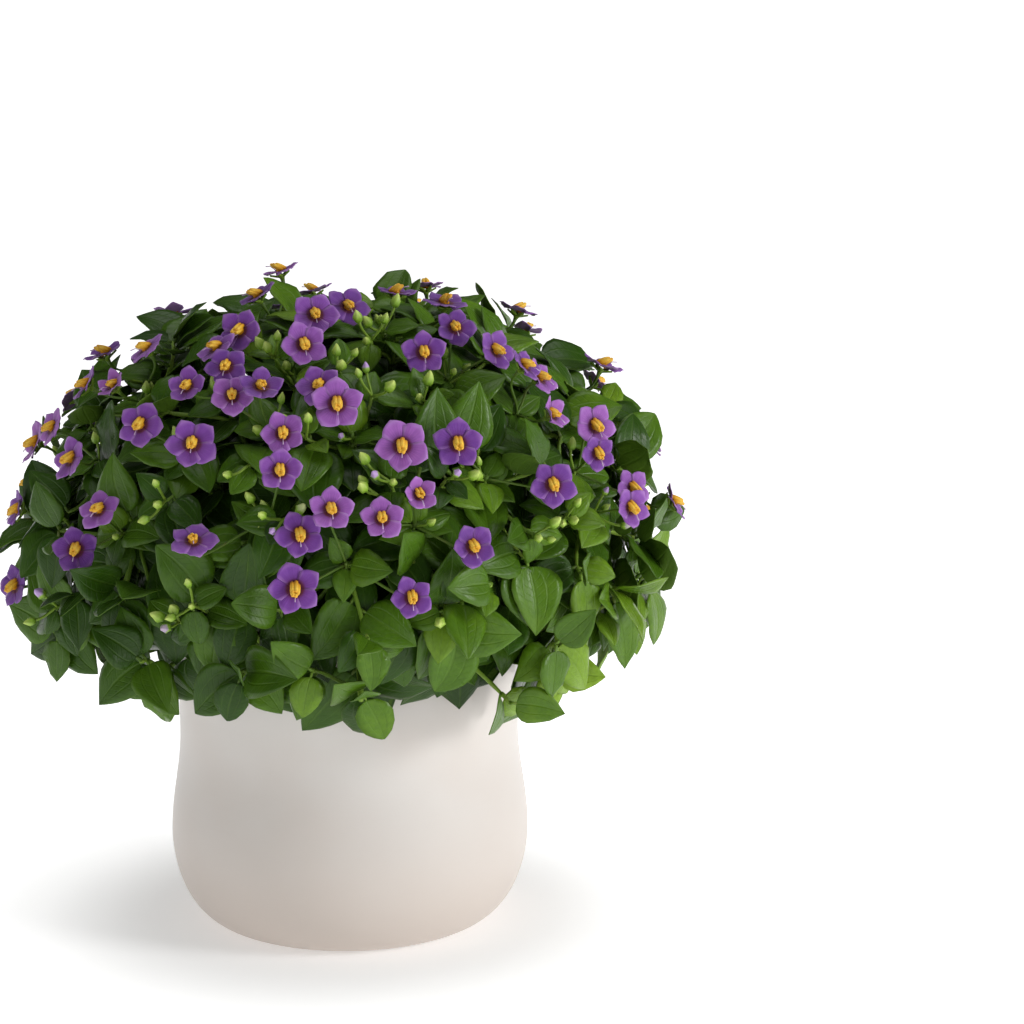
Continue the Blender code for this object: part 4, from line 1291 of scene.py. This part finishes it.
def keep_blooms_open(thicket, sprays):
    """Keeps the room in front of each bloom free of added leaves and buds."""
    for spray in sprays:
        for (centre, facing, radius, _), *_ in spray[2]:
            path = [centre + facing * depth for depth in OPEN_DEPTHS]
            room = tube_rings(path, [facing] * 3, [radius * OPEN_SHARE] * 3, ROOM_SIDES * 2)
            thicket.add(("open", ""), loft(room))


def dress_sprays(thicket, sprays):
    """Small bracts and stalked buds for each spray."""
    dressing = []
    for number, (tip, heading, *_) in enumerate(sprays):
        rng = random.Random(f"{SEED} bracts {number}")
        own = (numbered("spray", number), "bract")
        root = tip + heading * (SEAT_GAP + 1.5 * MM)
        controls = (root, root, root + heading * MM, root + heading * MM)
        bracts, buds = [], []
        for _ in range(rng.randint(*BUDS_ON_SPRAY)):
            buds += clear_bud(thicket, rng, root, heading, own)
        for index, size in enumerate(BRACT_SIZES):
            for spin in pair_spins(rng, index, 0.4):
                where = place_on(controls, 0.5, spin, 0.5 * MM)
                drawn = size * rng.uniform(*BRACT_SPREAD)
                bracts += loose_leaf(thicket, rng, where, drawn, own, BRACT_WINDOW_SHARE)
        dressing.append((bracts, buds))
    return dressing


def dress_shoots(thicket, stems):
    """Pairs of leaves lower on each shoot, and a rosette of small ones with buds at its tip."""
    pairs = [("extra", *pair) for pair in zip(EXTRA_PLACES, EXTRA_SIZES)]
    pairs += [("young", *pair) for pair in zip(ROSETTE_PLACES, ROSETTE_SIZES)]
    for k, stem in enumerate(stems):
        for shoot in stem["shoots"]:
            own = (numbered("stem", k), shoot["number"])
            controls = shoot["controls"]
            shoot.update(extra=[], young=[], buds=[])
            for index, (kind, place, size) in enumerate(pairs):
                rng = random.Random(f"{SEED} extra {shoot['number']} {index}")
                for spin in pair_spins(rng, index, 0.3, shoot["spin"]):
                    where = place_on(controls, place, spin, SHOOT_RADIUS)
                    shoot[kind] += loose_leaf(thicket, rng, where, size, own)
            if controls[3].z > BUDS_ABOVE:
                for _ in range(rng.randint(0, 3)):
                    heading = bezier_heading(controls, 1)
                    shoot["buds"] += clear_bud(thicket, rng, bezier_point(controls, 1), heading, own)


def nearest_shoot(stems, target):
    """The shoot place that a twig to the target would grow from, if one is near enough."""
    best = None
    for k, stem in enumerate(stems):
        for shoot in stem["shoots"]:
            for place in TWIG_ROOTS:
                way = target - bezier_point(shoot["controls"], place)
                heading = bezier_heading(shoot["controls"], place)
                if way.length > TWIG_LONGEST or way.dot(heading) < 0:
                    continue
                cost = way.length * (1.4 - 0.4 * way.normalized().dot(heading))
                if best is None or cost < best[0]:
                    best = (cost, k, shoot["controls"], place)
    return best[1:] if best else None


def grow_twig(thicket, stems, rng, name, target, sizes, buds=0):
    """A side twig to the target with a few leaves, and buds at its tip."""
    found = nearest_shoot(stems, target)
    if not found:
        return []
    k, carrier, place = found
    start = bezier_point(carrier, place)
    way = target - start
    length = way.length
    way = way.normalized()
    leave = (bezier_heading(carrier, place) + way).normalized() * (length * TWIG_BEND)
    arrive = (crown_normal(target) + way).normalized() * (length * TWIG_BEND)
    controls = (start, start + leave, target - arrive, target)
    path, headings = traced(controls, spaced(TWIG_CLEAR_FROM, 1, 4))
    room = loft(tube_rings(path, headings, [TWIG_RADIUS + FINE_CLEARANCE] * 5, ROOM_SIDES))
    own = (numbered("stem", k), name)
    if thicket.hits(room, lambda family: family[0] != own[0]):
        return []
    thicket.add(own, room)
    twig = {"controls": controls, "leaves": [], "buds": []}
    for _ in range(buds):
        twig["buds"] += clear_bud(thicket, rng, target, headings[-1], own)
    for index, t in enumerate(TWIG_PLACES):
        if t < TWIG_PLACES[2] and length < TWIG_BARE_BELOW:
            continue
        for spin in pair_spins(rng, index, 0.4):
            where = place_on(controls, t, spin, TWIG_RADIUS * 0.8)
            twig["leaves"] += loose_leaf(thicket, rng, where, rng.uniform(*sizes), own)
    if twig["leaves"] or twig["buds"]:
        stems[k]["twigs"].append(twig)
    return twig["leaves"]


def all_leaves(stems):
    """Every leaf of the plant's stems."""
    for stem in stems:
        for shoot in stem["shoots"]:
            yield from (*shoot["leaves"].values(), *shoot["extra"], *shoot["young"])
        for twig in stem["twigs"]:
            yield from twig["leaves"]


def fill_gaps(thicket, stems):
    """Side twigs to the buds that the photograph shows, and wherever no leaf is near."""
    leaves = list(all_leaves(stems))
    middles = []
    for number, (column, row) in enumerate(SEEN_BUDS):
        rng = random.Random(f"{SEED} seen bud {number}")
        target = sunk(seen_on_crown(column, row), SEEN_BUD_DEPTH)
        leaves += grow_twig(thicket, stems, rng, f"bud {number}", target, SEEN_BUD_LEAVES, 3)
    for layer, (samples, depth, spread, nearest, sizes) in enumerate(GAP_LAYERS):
        for i, surface in enumerate(crown_samples(samples, GAP_LOWEST)):
            middles += [leaf_point(leaf, 0, 0.5) for leaf in leaves[len(middles):]]
            rng = random.Random(f"{SEED} gap {layer} {i}")
            target = sunk(surface, depth * rng.uniform(*spread))
            if min((target - middle).length for middle in middles) > nearest:
                leaves += grow_twig(thicket, stems, rng, f"gap {layer} {i}", target, sizes)


def sights():
    """Lines of sight to the crown: from the eye, and level, sloping and steep ones from every side."""
    for column in range(*SIGHT_COLUMNS):
        for row in range(*SIGHT_ROWS):
            way = sight_line(column, row).normalized()
            yield EYE + way * SIGHT_START, way
    for turn in range(SIGHT_TURNS):
        for rise in SIGHT_RISES:
            way = polar(math.cos(rise), math.tau * turn / SIGHT_TURNS, -math.sin(rise))
            side = way.cross(UP).normalized()
            above = side.cross(way)
            for i in range(*SIGHT_GRID_ACROSS):
                for j in range(*SIGHT_GRID_UP):
                    offset = side * (i * SIGHT_SPACING) + above * (j * SIGHT_SPACING)
                    yield UP * CROWN_Z + offset - way * SIGHT_BACK, way


def sight_depths(start, way):
    """The points of a line of sight that lie well inside the crown, the middle ones first."""
    steps = [start + way * (step * SIGHT_STEP) for step in range(SIGHT_STEPS)]
    inside = [point for point in steps if crown_level(point) < SIGHT_LEVEL and point.z > SIGHT_LOWEST]
    return sorted(inside, key=lambda point: abs(crown_level(point) - SIGHT_DEPTH))


def blocked(screen, spheres, start, way):
    """Whether a piece lies on the line of sight; spheres holds the pieces' middles and reaches."""
    off = spheres[:, :3] - np.array(start)
    apart = (off * off).sum(axis=1) - (off @ np.array(way)) ** 2
    near = np.flatnonzero(apart < spheres[:, 3] ** 2)
    return any(screen.pieces[i][3].ray_cast(start, way)[0] is not None for i in near)


def carriers(stems):
    """Places that could carry one more leaf, as (where, heading, radius, stem's name, home list)."""
    found = []
    for k, stem in enumerate(stems):
        lines = [(shoot["controls"], SHOOT_RADIUS, shoot["extra"]) for shoot in stem["shoots"]]
        lines += [(twig["controls"], TWIG_RADIUS, twig["leaves"]) for twig in stem["twigs"]]
        for controls, radius, home in lines:
            for t in CARRIER_PLACES:
                place = bezier_point(controls, t)
                found.append((place, bezier_heading(controls, t), radius, numbered("stem", k), home))
    return found


def leaf_toward(thicket, places, rng, name, target):
    """A leaf that grows towards the target from one of the nearest places, if any has room."""
    near = [((target - place[0]).length, i) for i, place in enumerate(places)]
    for apart, i in sorted(near)[:CARRIER_TRIES]:
        where, heading, radius, stem, home = places[i]
        out = target - where
        out = out - heading * out.dot(heading)
        if apart > SIGHT_REACH or out.length < 1 * MM:
            continue
        out = out.normalized()
        place = (where + out * radius, heading, out)
        leaf = loose_leaf(thicket, rng, place, rng.uniform(*SIGHT_SIZES), (stem, name))
        if leaf:
            home.extend(leaf)
            return leaf
    return []


def close_sights(thicket, stems):
    """Inner twigs and leaves wherever one could look right through the crown."""
    places = carriers(stems)
    screen = Thicket()
    screen.pieces = [piece for piece in thicket.pieces if not piece[0][0].startswith(("stem", "open"))]
    fresh = list(all_leaves(stems))
    for number, (start, way) in enumerate(sights()):
        depths = sight_depths(start, way)
        for target in depths[:SIGHT_TRIES] if len(depths) > 1 else ():
            if fresh:
                for leaf in fresh:
                    screen.add(None, leaf_sheet(fitted(leaf), CLEAR_PLACE))
                spheres = np.array([(*centre, reach) for _, centre, reach, _ in screen.pieces])
            if blocked(screen, spheres, start, way):
                fresh = []
                break
            name = f"sight {number}"
            rng = random.Random(f"{SEED} {name}")
            fresh = grow_twig(thicket, stems, rng, name, target, SIGHT_SIZES)
            fresh = fresh or leaf_toward(thicket, places, rng, name, target)


class Field:
    """A value that varies over a surface: a node's output, which sums and products build on."""

    def __init__(self, recipe, socket):
        self.recipe = recipe
        self.socket = socket

    def __add__(self, other):
        return self.recipe.math("ADD", self, other)

    def __sub__(self, other):
        return self.recipe.math("SUBTRACT", self, other)

    def __rsub__(self, other):
        return self.recipe.math("SUBTRACT", other, self)

    def __mul__(self, other):
        return self.recipe.math("MULTIPLY", self, other)

    def __abs__(self):
        return self.recipe.math("ABSOLUTE", self)


class Recipe:
    """The nodes of one procedural material, with the form's point values to build on."""

    def __init__(self, name, **settings):
        self.material = bpy.data.materials.new(name)
        self.material.use_nodes = True
        self.tree = self.material.node_tree
        self.shader = self.tree.nodes["Principled BSDF"]
        for socket, value in settings.items():
            self.shader.inputs[socket.replace("_", " ")].default_value = value
        attribute = self.node("ShaderNodeAttribute", attribute_name="form")
        parts = self.node("ShaderNodeSeparateColor", Color=attribute.outputs["Color"])
        self.tone, across, self.along = (Field(self, socket) for socket in parts.outputs)
        self.upper = Field(self, attribute.outputs["Alpha"])
        self.across = abs(across * 2 - 1)
        self.place = self.node("ShaderNodeTexCoord").outputs["Object"]

    def node(self, kind, **settings):
        """A new node: a setting goes to the input of its name, or to the node itself."""
        node = self.tree.nodes.new(kind)
        for name, value in settings.items():
            if name.replace("_", " ") in node.inputs:
                self.link(value, node.inputs[name.replace("_", " ")])
            else:
                setattr(node, name, value)
        return node

    def link(self, value, socket):
        """Feeds a socket from a field or another node's output, or sets it."""
        value = value.socket if isinstance(value, Field) else value
        if isinstance(value, bpy.types.NodeSocket):
            self.tree.links.new(value, socket)
        else:
            socket.default_value = value

    def math(self, operation, *values, clamp=False):
        """The result of one operation on fields and numbers."""
        node = self.node("ShaderNodeMath", operation=operation, use_clamp=clamp)
        for value, socket in zip(values, node.inputs):
            self.link(value, socket)
        return Field(self, node.outputs[0])

    def ease(self, value, low, high):
        """0 below low and 1 above high, or the other way round where low is the greater."""
        rising = low < high
        low, high = sorted((low, high))
        node = self.node("ShaderNodeMapRange", interpolation_type="SMOOTHSTEP", Value=value,
                         From_Min=low, From_Max=high, To_Min=float(not rising), To_Max=float(rising))
        return Field(self, node.outputs["Result"])

    def noise(self, size, detail=3.0, roughness=0.55, stretch=(1, 1, 1)):
        """Cloudy noise from 0 to 1 whose features are about size across, in metres."""
        scale = [s / size for s in stretch]
        mapping = self.node("ShaderNodeMapping", Vector=self.place, Scale=scale)
        texture = self.node("ShaderNodeTexNoise", Vector=mapping.outputs[0], Scale=1, Detail=detail,
                            Roughness=roughness)
        return Field(self, texture.outputs["Fac"])

    def mix(self, factor, first, second):
        """From the first colour to the second, by a factor from 0 to 1."""
        node = self.node("ShaderNodeMix", data_type="RGBA", Factor=factor)
        for colour, socket in ((first, node.inputs[6]), (second, node.inputs[7])):
            self.link((*colour, 1) if isinstance(colour, tuple) else colour, socket)
        return node.outputs[2]

    def ramp(self, value, *stops):
        """A colour ramp through (place, colour) stops."""
        node = self.node("ShaderNodeValToRGB", Fac=value)
        elements = node.color_ramp.elements
        while len(elements) < len(stops):
            elements.new(1)
        for element, (place, colour) in zip(elements, stops):
            element.position = place
            element.color = (*colour, 1)
        return node.outputs["Color"]

    def bump(self, height, distance, strength):
        node = self.node("ShaderNodeBump", Height=height, Distance=distance, Strength=strength)
        self.set("Normal", node.outputs[0])

    def set(self, socket, value):
        self.link(value, self.shader.inputs[socket])


def leaf_material():
    """Satin leaves: dark to yellow-green by age and by the painted light and shade in each leaf's tone,
    with a midrib and an arching nerve on each side.
    """
    r = Recipe("leaf green", Specular_IOR_Level=0.24)
    cloud = r.noise(9 * MM)
    fine = r.noise(1.4 * MM, detail=4)
    # the tone carries each leaf's age and its painted light and shade
    age = r.math("ADD", r.tone, cloud * 0.3 - 0.15, clamp=True)
    blade = r.ramp(age, (0.0, (0.011, 0.033, 0.002)), (0.3, (0.025, 0.070, 0.003)),
                   (0.62, (0.070, 0.155, 0.006)), (1.0, (0.205, 0.345, 0.018)))
    midrib = r.ease(r.across, 0.09, 0.015)
    nerve = r.ease(abs(r.across - 0.47), 0.06, 0.01) * r.ease(r.along, 0.9, 0.6)
    veins = r.math("MAXIMUM", midrib, nerve * 0.55)
    ribs = r.ease(r.math("SINE", (r.across * 2.6 + r.along * 9.0) * math.tau), 0.8, 1.0)
    blade = r.mix(veins * 0.15, blade, (0.14, 0.25, 0.03))
    blade = r.mix(r.ease(fine, 0.3, 0.75) * 0.22, blade, (0.020, 0.058, 0.004))
    blade = r.mix(r.ease(r.across, 0.9, 1.0) * 0.25, blade, (0.10, 0.17, 0.02))
    under = r.mix(0.45, blade, (0.105, 0.185, 0.018))
    r.set("Base Color", r.mix(r.upper, under, blade))
    r.set("Roughness", (1 - r.upper) * 0.25 + (cloud * 0.3 + 0.18))
    r.bump(fine * 0.5 - r.math("MAXIMUM", veins, ribs * 0.3), 0.3 * MM, 0.6)
    return r.material


def stem_material():
    """Soft green stems, paler when young, streaked with a little red-brown."""
    r = Recipe("stem green", Roughness=0.5, Specular_IOR_Level=0.3)
    streak = r.noise(2.2 * MM, stretch=(1, 1, 0.15))
    green = r.ramp(r.tone, (0.0, (0.035, 0.07, 0.008)), (0.6, (0.10, 0.19, 0.015)),
                   (1.0, (0.24, 0.38, 0.04)))
    r.set("Base Color", r.mix(r.ease(streak, 0.45, 0.8) * 0.3, green, (0.15, 0.09, 0.03)))
    r.bump(streak, 0.15 * MM, 0.5)
    return r.material


def bud_material():
    """Yellow-green buds, a few with the lilac of the folded petals showing at the tip."""
    r = Recipe("bud green", Roughness=0.42, Specular_IOR_Level=0.35)
    cloud = r.noise(1.2 * MM)
    green = r.ramp(r.along, (0.0, (0.09, 0.19, 0.015)), (0.4, (0.22, 0.38, 0.03)),
                   (1.0, (0.52, 0.62, 0.16)))
    green = r.mix(r.ease(cloud, 0.4, 0.8) * 0.35, green, (0.18, 0.32, 0.03))
    open_soon = r.ease(r.tone, 0.78, 0.82) * r.ease(r.along, 0.40, 0.62)
    r.set("Base Color", r.mix(open_soon, green, (0.46, 0.30, 0.60)))
    r.bump(cloud, 0.12 * MM, 0.5)
    return r.material


def petal_material():
    """Violet petals: a maroon throat, darker veins, lilac towards the margin, paler behind."""
    r = Recipe("petal violet", Roughness=0.6, Specular_IOR_Level=0.25, Sheen_Weight=0.15,
               Sheen_Roughness=0.5)
    cloud = r.noise(3.5 * MM)
    body = r.ramp(r.tone, (0.0, (0.115, 0.030, 0.235)), (0.45, (0.180, 0.050, 0.330)),
                  (1.0, (0.330, 0.110, 0.430)))
    body = r.mix(r.ease(cloud, 0.35, 0.8) * 0.3, body, (0.25, 0.085, 0.37))
    fan = r.ease(r.math("SINE", r.across * 30), 0.3, 1.0) * r.ease(r.along, 0.95, 0.4)
    body = r.mix(fan * 0.22, body, (0.08, 0.02, 0.20))
    edge = r.math("MAXIMUM", r.ease(r.across, 0.6, 1.0) * 0.9, r.ease(r.along, 0.72, 1.0))
    body = r.mix(edge * (r.tone * 0.4 + 0.38), body, (0.44, 0.23, 0.56))
    under = r.mix(0.5, body, (0.42, 0.25, 0.50))
    body = r.mix(r.ease(r.along, 0.62, 0.36) * 0.5, body, (0.105, 0.015, 0.170))
    body = r.mix(r.ease(r.along, 0.42, 0.28), body, (0.085, 0.008, 0.030))
    r.set("Base Color", r.mix(r.upper, under, body))
    r.bump(cloud - fan * 0.6, 0.18 * MM, 0.6)
    return r.material


def anther_material():
    """Golden anthers, deeper at the foot, with a fine grain of pollen."""
    r = Recipe("anther gold", Roughness=0.5, Specular_IOR_Level=0.3)
    grain = r.noise(0.5 * MM, detail=4)
    gold = r.ramp(r.along, (0.0, (0.42, 0.13, 0.005)), (0.3, (0.78, 0.40, 0.015)),
                  (0.8, (0.88, 0.58, 0.07)), (1.0, (0.70, 0.36, 0.03)))
    r.set("Base Color", r.mix(r.ease(grain, 0.4, 0.75) * 0.4, gold, (0.62, 0.25, 0.008)))
    r.bump(grain, 0.12 * MM, 0.8)
    return r.material


def style_material():
    """The pale style with its knob."""
    r = Recipe("style white", Roughness=0.45)
    r.set("Base Color", r.mix(r.noise(0.8 * MM), (0.40, 0.25, 0.48), (0.58, 0.46, 0.60)))
    return r.material


def glaze_material():
    """Satin off-white glaze with warm clouding, fine pores and soft throwing rings, and painted shade
    that darkens and warms it towards the foot.
    """
    r = Recipe("cream glaze", Specular_IOR_Level=0.4, Coat_Weight=0.2, Coat_Roughness=0.3)
    cloud = r.noise(45 * MM, detail=2)
    speck = r.noise(0.9 * MM, detail=2)
    rings = r.noise(5 * MM, detail=1, stretch=(0.05, 0.05, 1))
    height = r.node("ShaderNodeSeparateXYZ", Vector=r.place).outputs[2]
    body = r.mix(r.ease(cloud, 0.3, 0.7), (0.635, 0.586, 0.546), (0.665, 0.632, 0.600))
    # painted shade: the glaze turns darker and warmer towards the foot
    body = r.mix(r.ease(height, POT_HEIGHT * 0.62, 0), body, (0.610, 0.535, 0.480))
    r.set("Base Color", r.mix(r.ease(speck, 0.66, 0.78) * 0.22, body, (0.60, 0.53, 0.47)))
    r.set("Roughness", cloud * 0.12 + 0.40)
    r.bump(rings * 0.8 + speck * 0.12, 0.25 * MM, 0.45)
    return r.material


def soil_material():
    """Dark moist peat with fibres and pale flecks."""
    r = Recipe("peat soil", Roughness=0.92)
    lump = r.noise(4 * MM, detail=5, roughness=0.7)
    fleck = r.noise(1.3 * MM, detail=3)
    body = r.ramp(lump, (0.25, (0.012, 0.007, 0.004)), (0.55, (0.045, 0.026, 0.014)),
                  (0.8, (0.105, 0.065, 0.035)))
    r.set("Base Color", r.mix(r.ease(fleck, 0.68, 0.76), body, (0.24, 0.17, 0.10)))
    r.bump(lump + fleck, 1.2 * MM, 0.9)
    return r.material


def turned(profile, sides):
    """Rings of a profile of (radius, z) points turned round the upright axis."""
    return [[polar(radius, math.tau * i / sides, z) for i in range(sides)] for radius, z in profile]


def make_pot():
    """The glazed pot, turned from the same profile with many more sides and steps."""
    profile = pot_profile(20, 12, 28, FLOOR + 3 * MM)
    corner = profile[0][0]
    floor = [(1 * MM, FLOOR), (corner - 7 * MM, FLOOR), (corner - 3 * MM, FLOOR + 0.8 * MM)]
    skin = Skin()
    skin.add(*tube_skin(turned(floor + profile + [(1 * MM, 0)], POT_FINE_SIDES)))
    skin.piece("pot_glazed", [glaze_material()], "pot", "pot")


def soil_point(radius, angle, above=0.0):
    """A point on the peat's rough surface, which is calm at the pot's wall."""
    edge = soil_edge()
    place = polar(radius, angle)
    rough = noise.fractal(place * 260, 1.0, 2.2, 4) * 1.1 * MM + noise.noise(place * 900) * 0.35 * MM
    calm = min(1, max(0, (edge - radius) / (3 * MM)))
    dome = 0.8 * SOIL_DOME * (1 - (radius / edge) ** 2)
    place.z = SOIL_TOP - 0.9 * MM + dome + rough * calm + above
    return place


def make_soil():
    """The plug of peat, its top broken into crumbs, closed round the stems."""
    skin = Skin()
    rng = random.Random(SEED)
    side = soil_side(8, FLOOR + 3 * MM, SOIL_TOP - 2 * MM)
    foot = (side[-1][0] - 5 * MM, FLOOR + SEAT_GAP)
    rings = turned([(4 * MM, foot[1]), foot, *side[::-1]], SOIL_FINE_SIDES)
    angles = [math.tau * i / SOIL_FINE_SIDES for i in range(SOIL_FINE_SIDES)]
    for j in range(SOIL_RINGS, 0, -1):
        radius = soil_edge() * (j - 0.4) / (SOIL_RINGS - 0.4)
        rings.append([soil_point(radius, angle) for angle in angles])
    skin.add(*tube_skin(rings))
    for _ in range(SOIL_CRUMBS):
        radius = soil_edge() * 0.96 * math.sqrt(rng.random())
        centre = soil_point(radius, rng.uniform(0, math.tau), 0.2 * MM)
        add_crumb(skin, centre, rng.uniform(0.5, 1.5) * MM, rng)
    skin.piece("soil_peat", [soil_material()], "soil", "soil")


def add_crumb(skin, centre, size, rng):
    """A crumb of peat: a squashed and dented ball of few faces."""
    heading = Vector((rng.uniform(-1, 1), rng.uniform(-1, 1), rng.uniform(0.2, 1))).normalized()
    side = perpendicular(heading)
    rings = []
    for share in (-0.92, -0.4, 0.3, 0.85):
        width = math.sqrt(1 - share * share) * size * rng.uniform(0.8, 1.15)
        points = ring(centre + heading * (size * 0.8 * share), side, heading, width, 6)
        rings.append([p + (p - centre) * rng.uniform(-0.12, 0.12) for p in points])
    skin.add(*tube_skin(rings))


def make_stem_piece(index, stem, materials):
    """One leafy stem with its shoots, twigs, leaves and tip buds."""
    skin = Skin()
    rng = random.Random(f"{SEED} fine stem {index}")
    name = numbered("stem", index)
    add_stem(skin, stem["path"])
    for shoot in stem["shoots"]:
        tone = rng.uniform(0.35, 0.75)
        places = PAIR_PLACES + EXTRA_PLACES
        add_shoot(skin, shoot["controls"], places, tone, SHOOT_TAPER, SHOOT_STEPS)
        for leaf in [*shoot["leaves"].values(), *shoot["extra"]]:
            add_leaf(skin, leaf, rng, leaf_tone(rng, leaf))
        for leaf in shoot["young"]:
            add_leaf(skin, leaf, rng, leaf_tone(rng, leaf, True))
        for bud in shoot["buds"]:
            add_bud(skin, bud, rng)
    for twig in stem["twigs"]:
        tone = rng.uniform(0.5, 0.9)
        add_shoot(skin, twig["controls"], TWIG_PLACES[:3], tone, TWIG_TAPER, TWIG_STEPS)
        for leaf in twig["leaves"]:
            young = leaf[3] < SMALL_LEAF and rng.random() < YOUNG_SHARE
            add_leaf(skin, leaf, rng, leaf_tone(rng, leaf, young))
        for bud in twig["buds"]:
            add_bud(skin, bud, rng)
    skin.piece(f"{name}_leafy", materials, "leaf", name)


def make_spray_piece(index, spray, dressing, materials):
    """One spray: its stalk, its blooms, and the bracts and buds between them."""
    tip, heading, blooms, forked = spray
    bracts, buds = dressing
    skin = Skin()
    rng = random.Random(f"{SEED} fine spray {index}")
    name = numbered("spray", index)
    if forked:
        path = [tip - heading * (0.2 * MM), tip + heading * (SEAT_GAP + STALK_LENGTH)]
        skin.tube(path, [0.75 * MM, 0.6 * MM], 8, STEM, 0.35)
    for bloom, root, aim in blooms:
        add_bloom(skin, bloom, root, aim, rng)
    for bract in bracts:
        add_leaf(skin, bract, rng, leaf_tone(rng, bract, True))
    for bud in buds:
        add_bud(skin, bud, rng)
    skin.piece(f"{name}_blooms", materials, "petal", name)


def make_floor():
    """A pale round floor that sweeps up far away on every side, with a glow that grows outwards; the dim
    glow near the pot is a painted contact shadow round it.
    """
    bend = FLOOR_RADIUS - SWEEP_RADIUS
    sweep = [(bend + SWEEP_RADIUS * math.sin(a), SWEEP_RADIUS * (1 - math.cos(a)))
             for a in spaced(0, math.pi / 2, 12)]
    points, faces = tube_skin(turned([(0.5, 0), *sweep, (FLOOR_RADIUS, SWEEP_HEIGHT)], FLOOR_SIDES))
    mesh = bpy.data.meshes.new("floor")
    mesh.from_pydata(points, [], [tuple(reversed(face)) for face in faces[:-1]])
    r = Recipe("pale floor", Roughness=0.8, Base_Color=(0.875, 0.875, 0.875, 1),
               Emission_Color=(1, 1, 1, 1))
    distance = r.node("ShaderNodeVectorMath", operation="LENGTH", Vector=r.place).outputs["Value"]
    glow = [(place / FLOOR_RADIUS, (level, level, level)) for place, level in FLOOR_GLOW]
    # painted shadow: the glow is dim near the pot, a contact shadow round its foot
    r.set("Emission Strength", r.ramp(r.math("DIVIDE", distance, FLOOR_RADIUS), *glow))
    shown("floor", mesh, [r.material])


def make_lights():
    """A soft key from the right, a weak fill, a top light and a pale room."""
    scene = bpy.context.scene
    for name, place, size, power in LIGHTS:
        light = bpy.data.lights.new(name, "AREA")
        light.shape = "DISK"
        light.size = size
        light.energy = power
        lamp = bpy.data.objects.new(name, light)
        lamp.location = place
        lamp.rotation_euler = (LIT_POINT - Vector(place)).to_track_quat("-Z", "Y").to_euler()
        scene.collection.objects.link(lamp)
    world = bpy.data.worlds.new("soft room")
    world.use_nodes = True
    background = world.node_tree.nodes["Background"]
    background.inputs["Color"].default_value = (1, 1, 1, 1)
    background.inputs["Strength"].default_value = ROOM_LIGHT
    scene.world = world
    scene.view_settings.view_transform = "Standard"


def make_camera():
    """The camera at the photograph's viewing angle and framing."""
    camera = bpy.data.cameras.new("photograph")
    camera.sensor_width = 36
    camera.lens = camera.sensor_width * FOCAL_PIXELS / (2 * MIDDLE_PIXEL)
    camera.clip_start = 0.05
    seat = bpy.data.objects.new("photograph", camera)
    seat.location = EYE
    seat.rotation_euler = (math.pi / 2 - PITCH, 0, 0)
    bpy.context.scene.collection.objects.link(seat)
    bpy.context.scene.camera = seat


def main():
    """Lays the plant out as the frame does, adds what only the finished plant has, and builds it."""
    thicket = Thicket()
    pot = pot_profile(INSIDE_STEPS, 4, OUTSIDE_STEPS, FLOOR + 1 * MM)
    pot = [(pot[0][0] - 4 * MM, FLOOR), *pot]
    soil = [(soil_edge(), SOIL_TOP), soil_side(INSIDE_STEPS, FLOOR + 2 * MM, SOIL_TOP)[0]]
    thicket.add(("pot", ""), tube_skin(turned(pot, POT_SIDES), closed=False))
    thicket.add(("soil", ""), tube_skin(turned(soil, SOIL_SIDES), closed=False))
    sprays = place_sprays(thicket)
    stems = place_shoots(thicket, sprays)
    place_leaves(thicket, stems)
    keep_blooms_open(thicket, sprays)
    dressing = dress_sprays(thicket, sprays)
    dress_shoots(thicket, stems)
    fill_gaps(thicket, stems)
    close_sights(thicket, stems)
    green = [leaf_material(), stem_material(), bud_material()]
    violet = [petal_material(), anther_material(), style_material()]
    make_pot()
    make_soil()
    for index, stem in enumerate(stems):
        make_stem_piece(index, stem, green)
    for index, spray in enumerate(sprays):
        make_spray_piece(index, spray, dressing[index], green + violet)
    make_floor()
    make_lights()
    make_camera()


main()
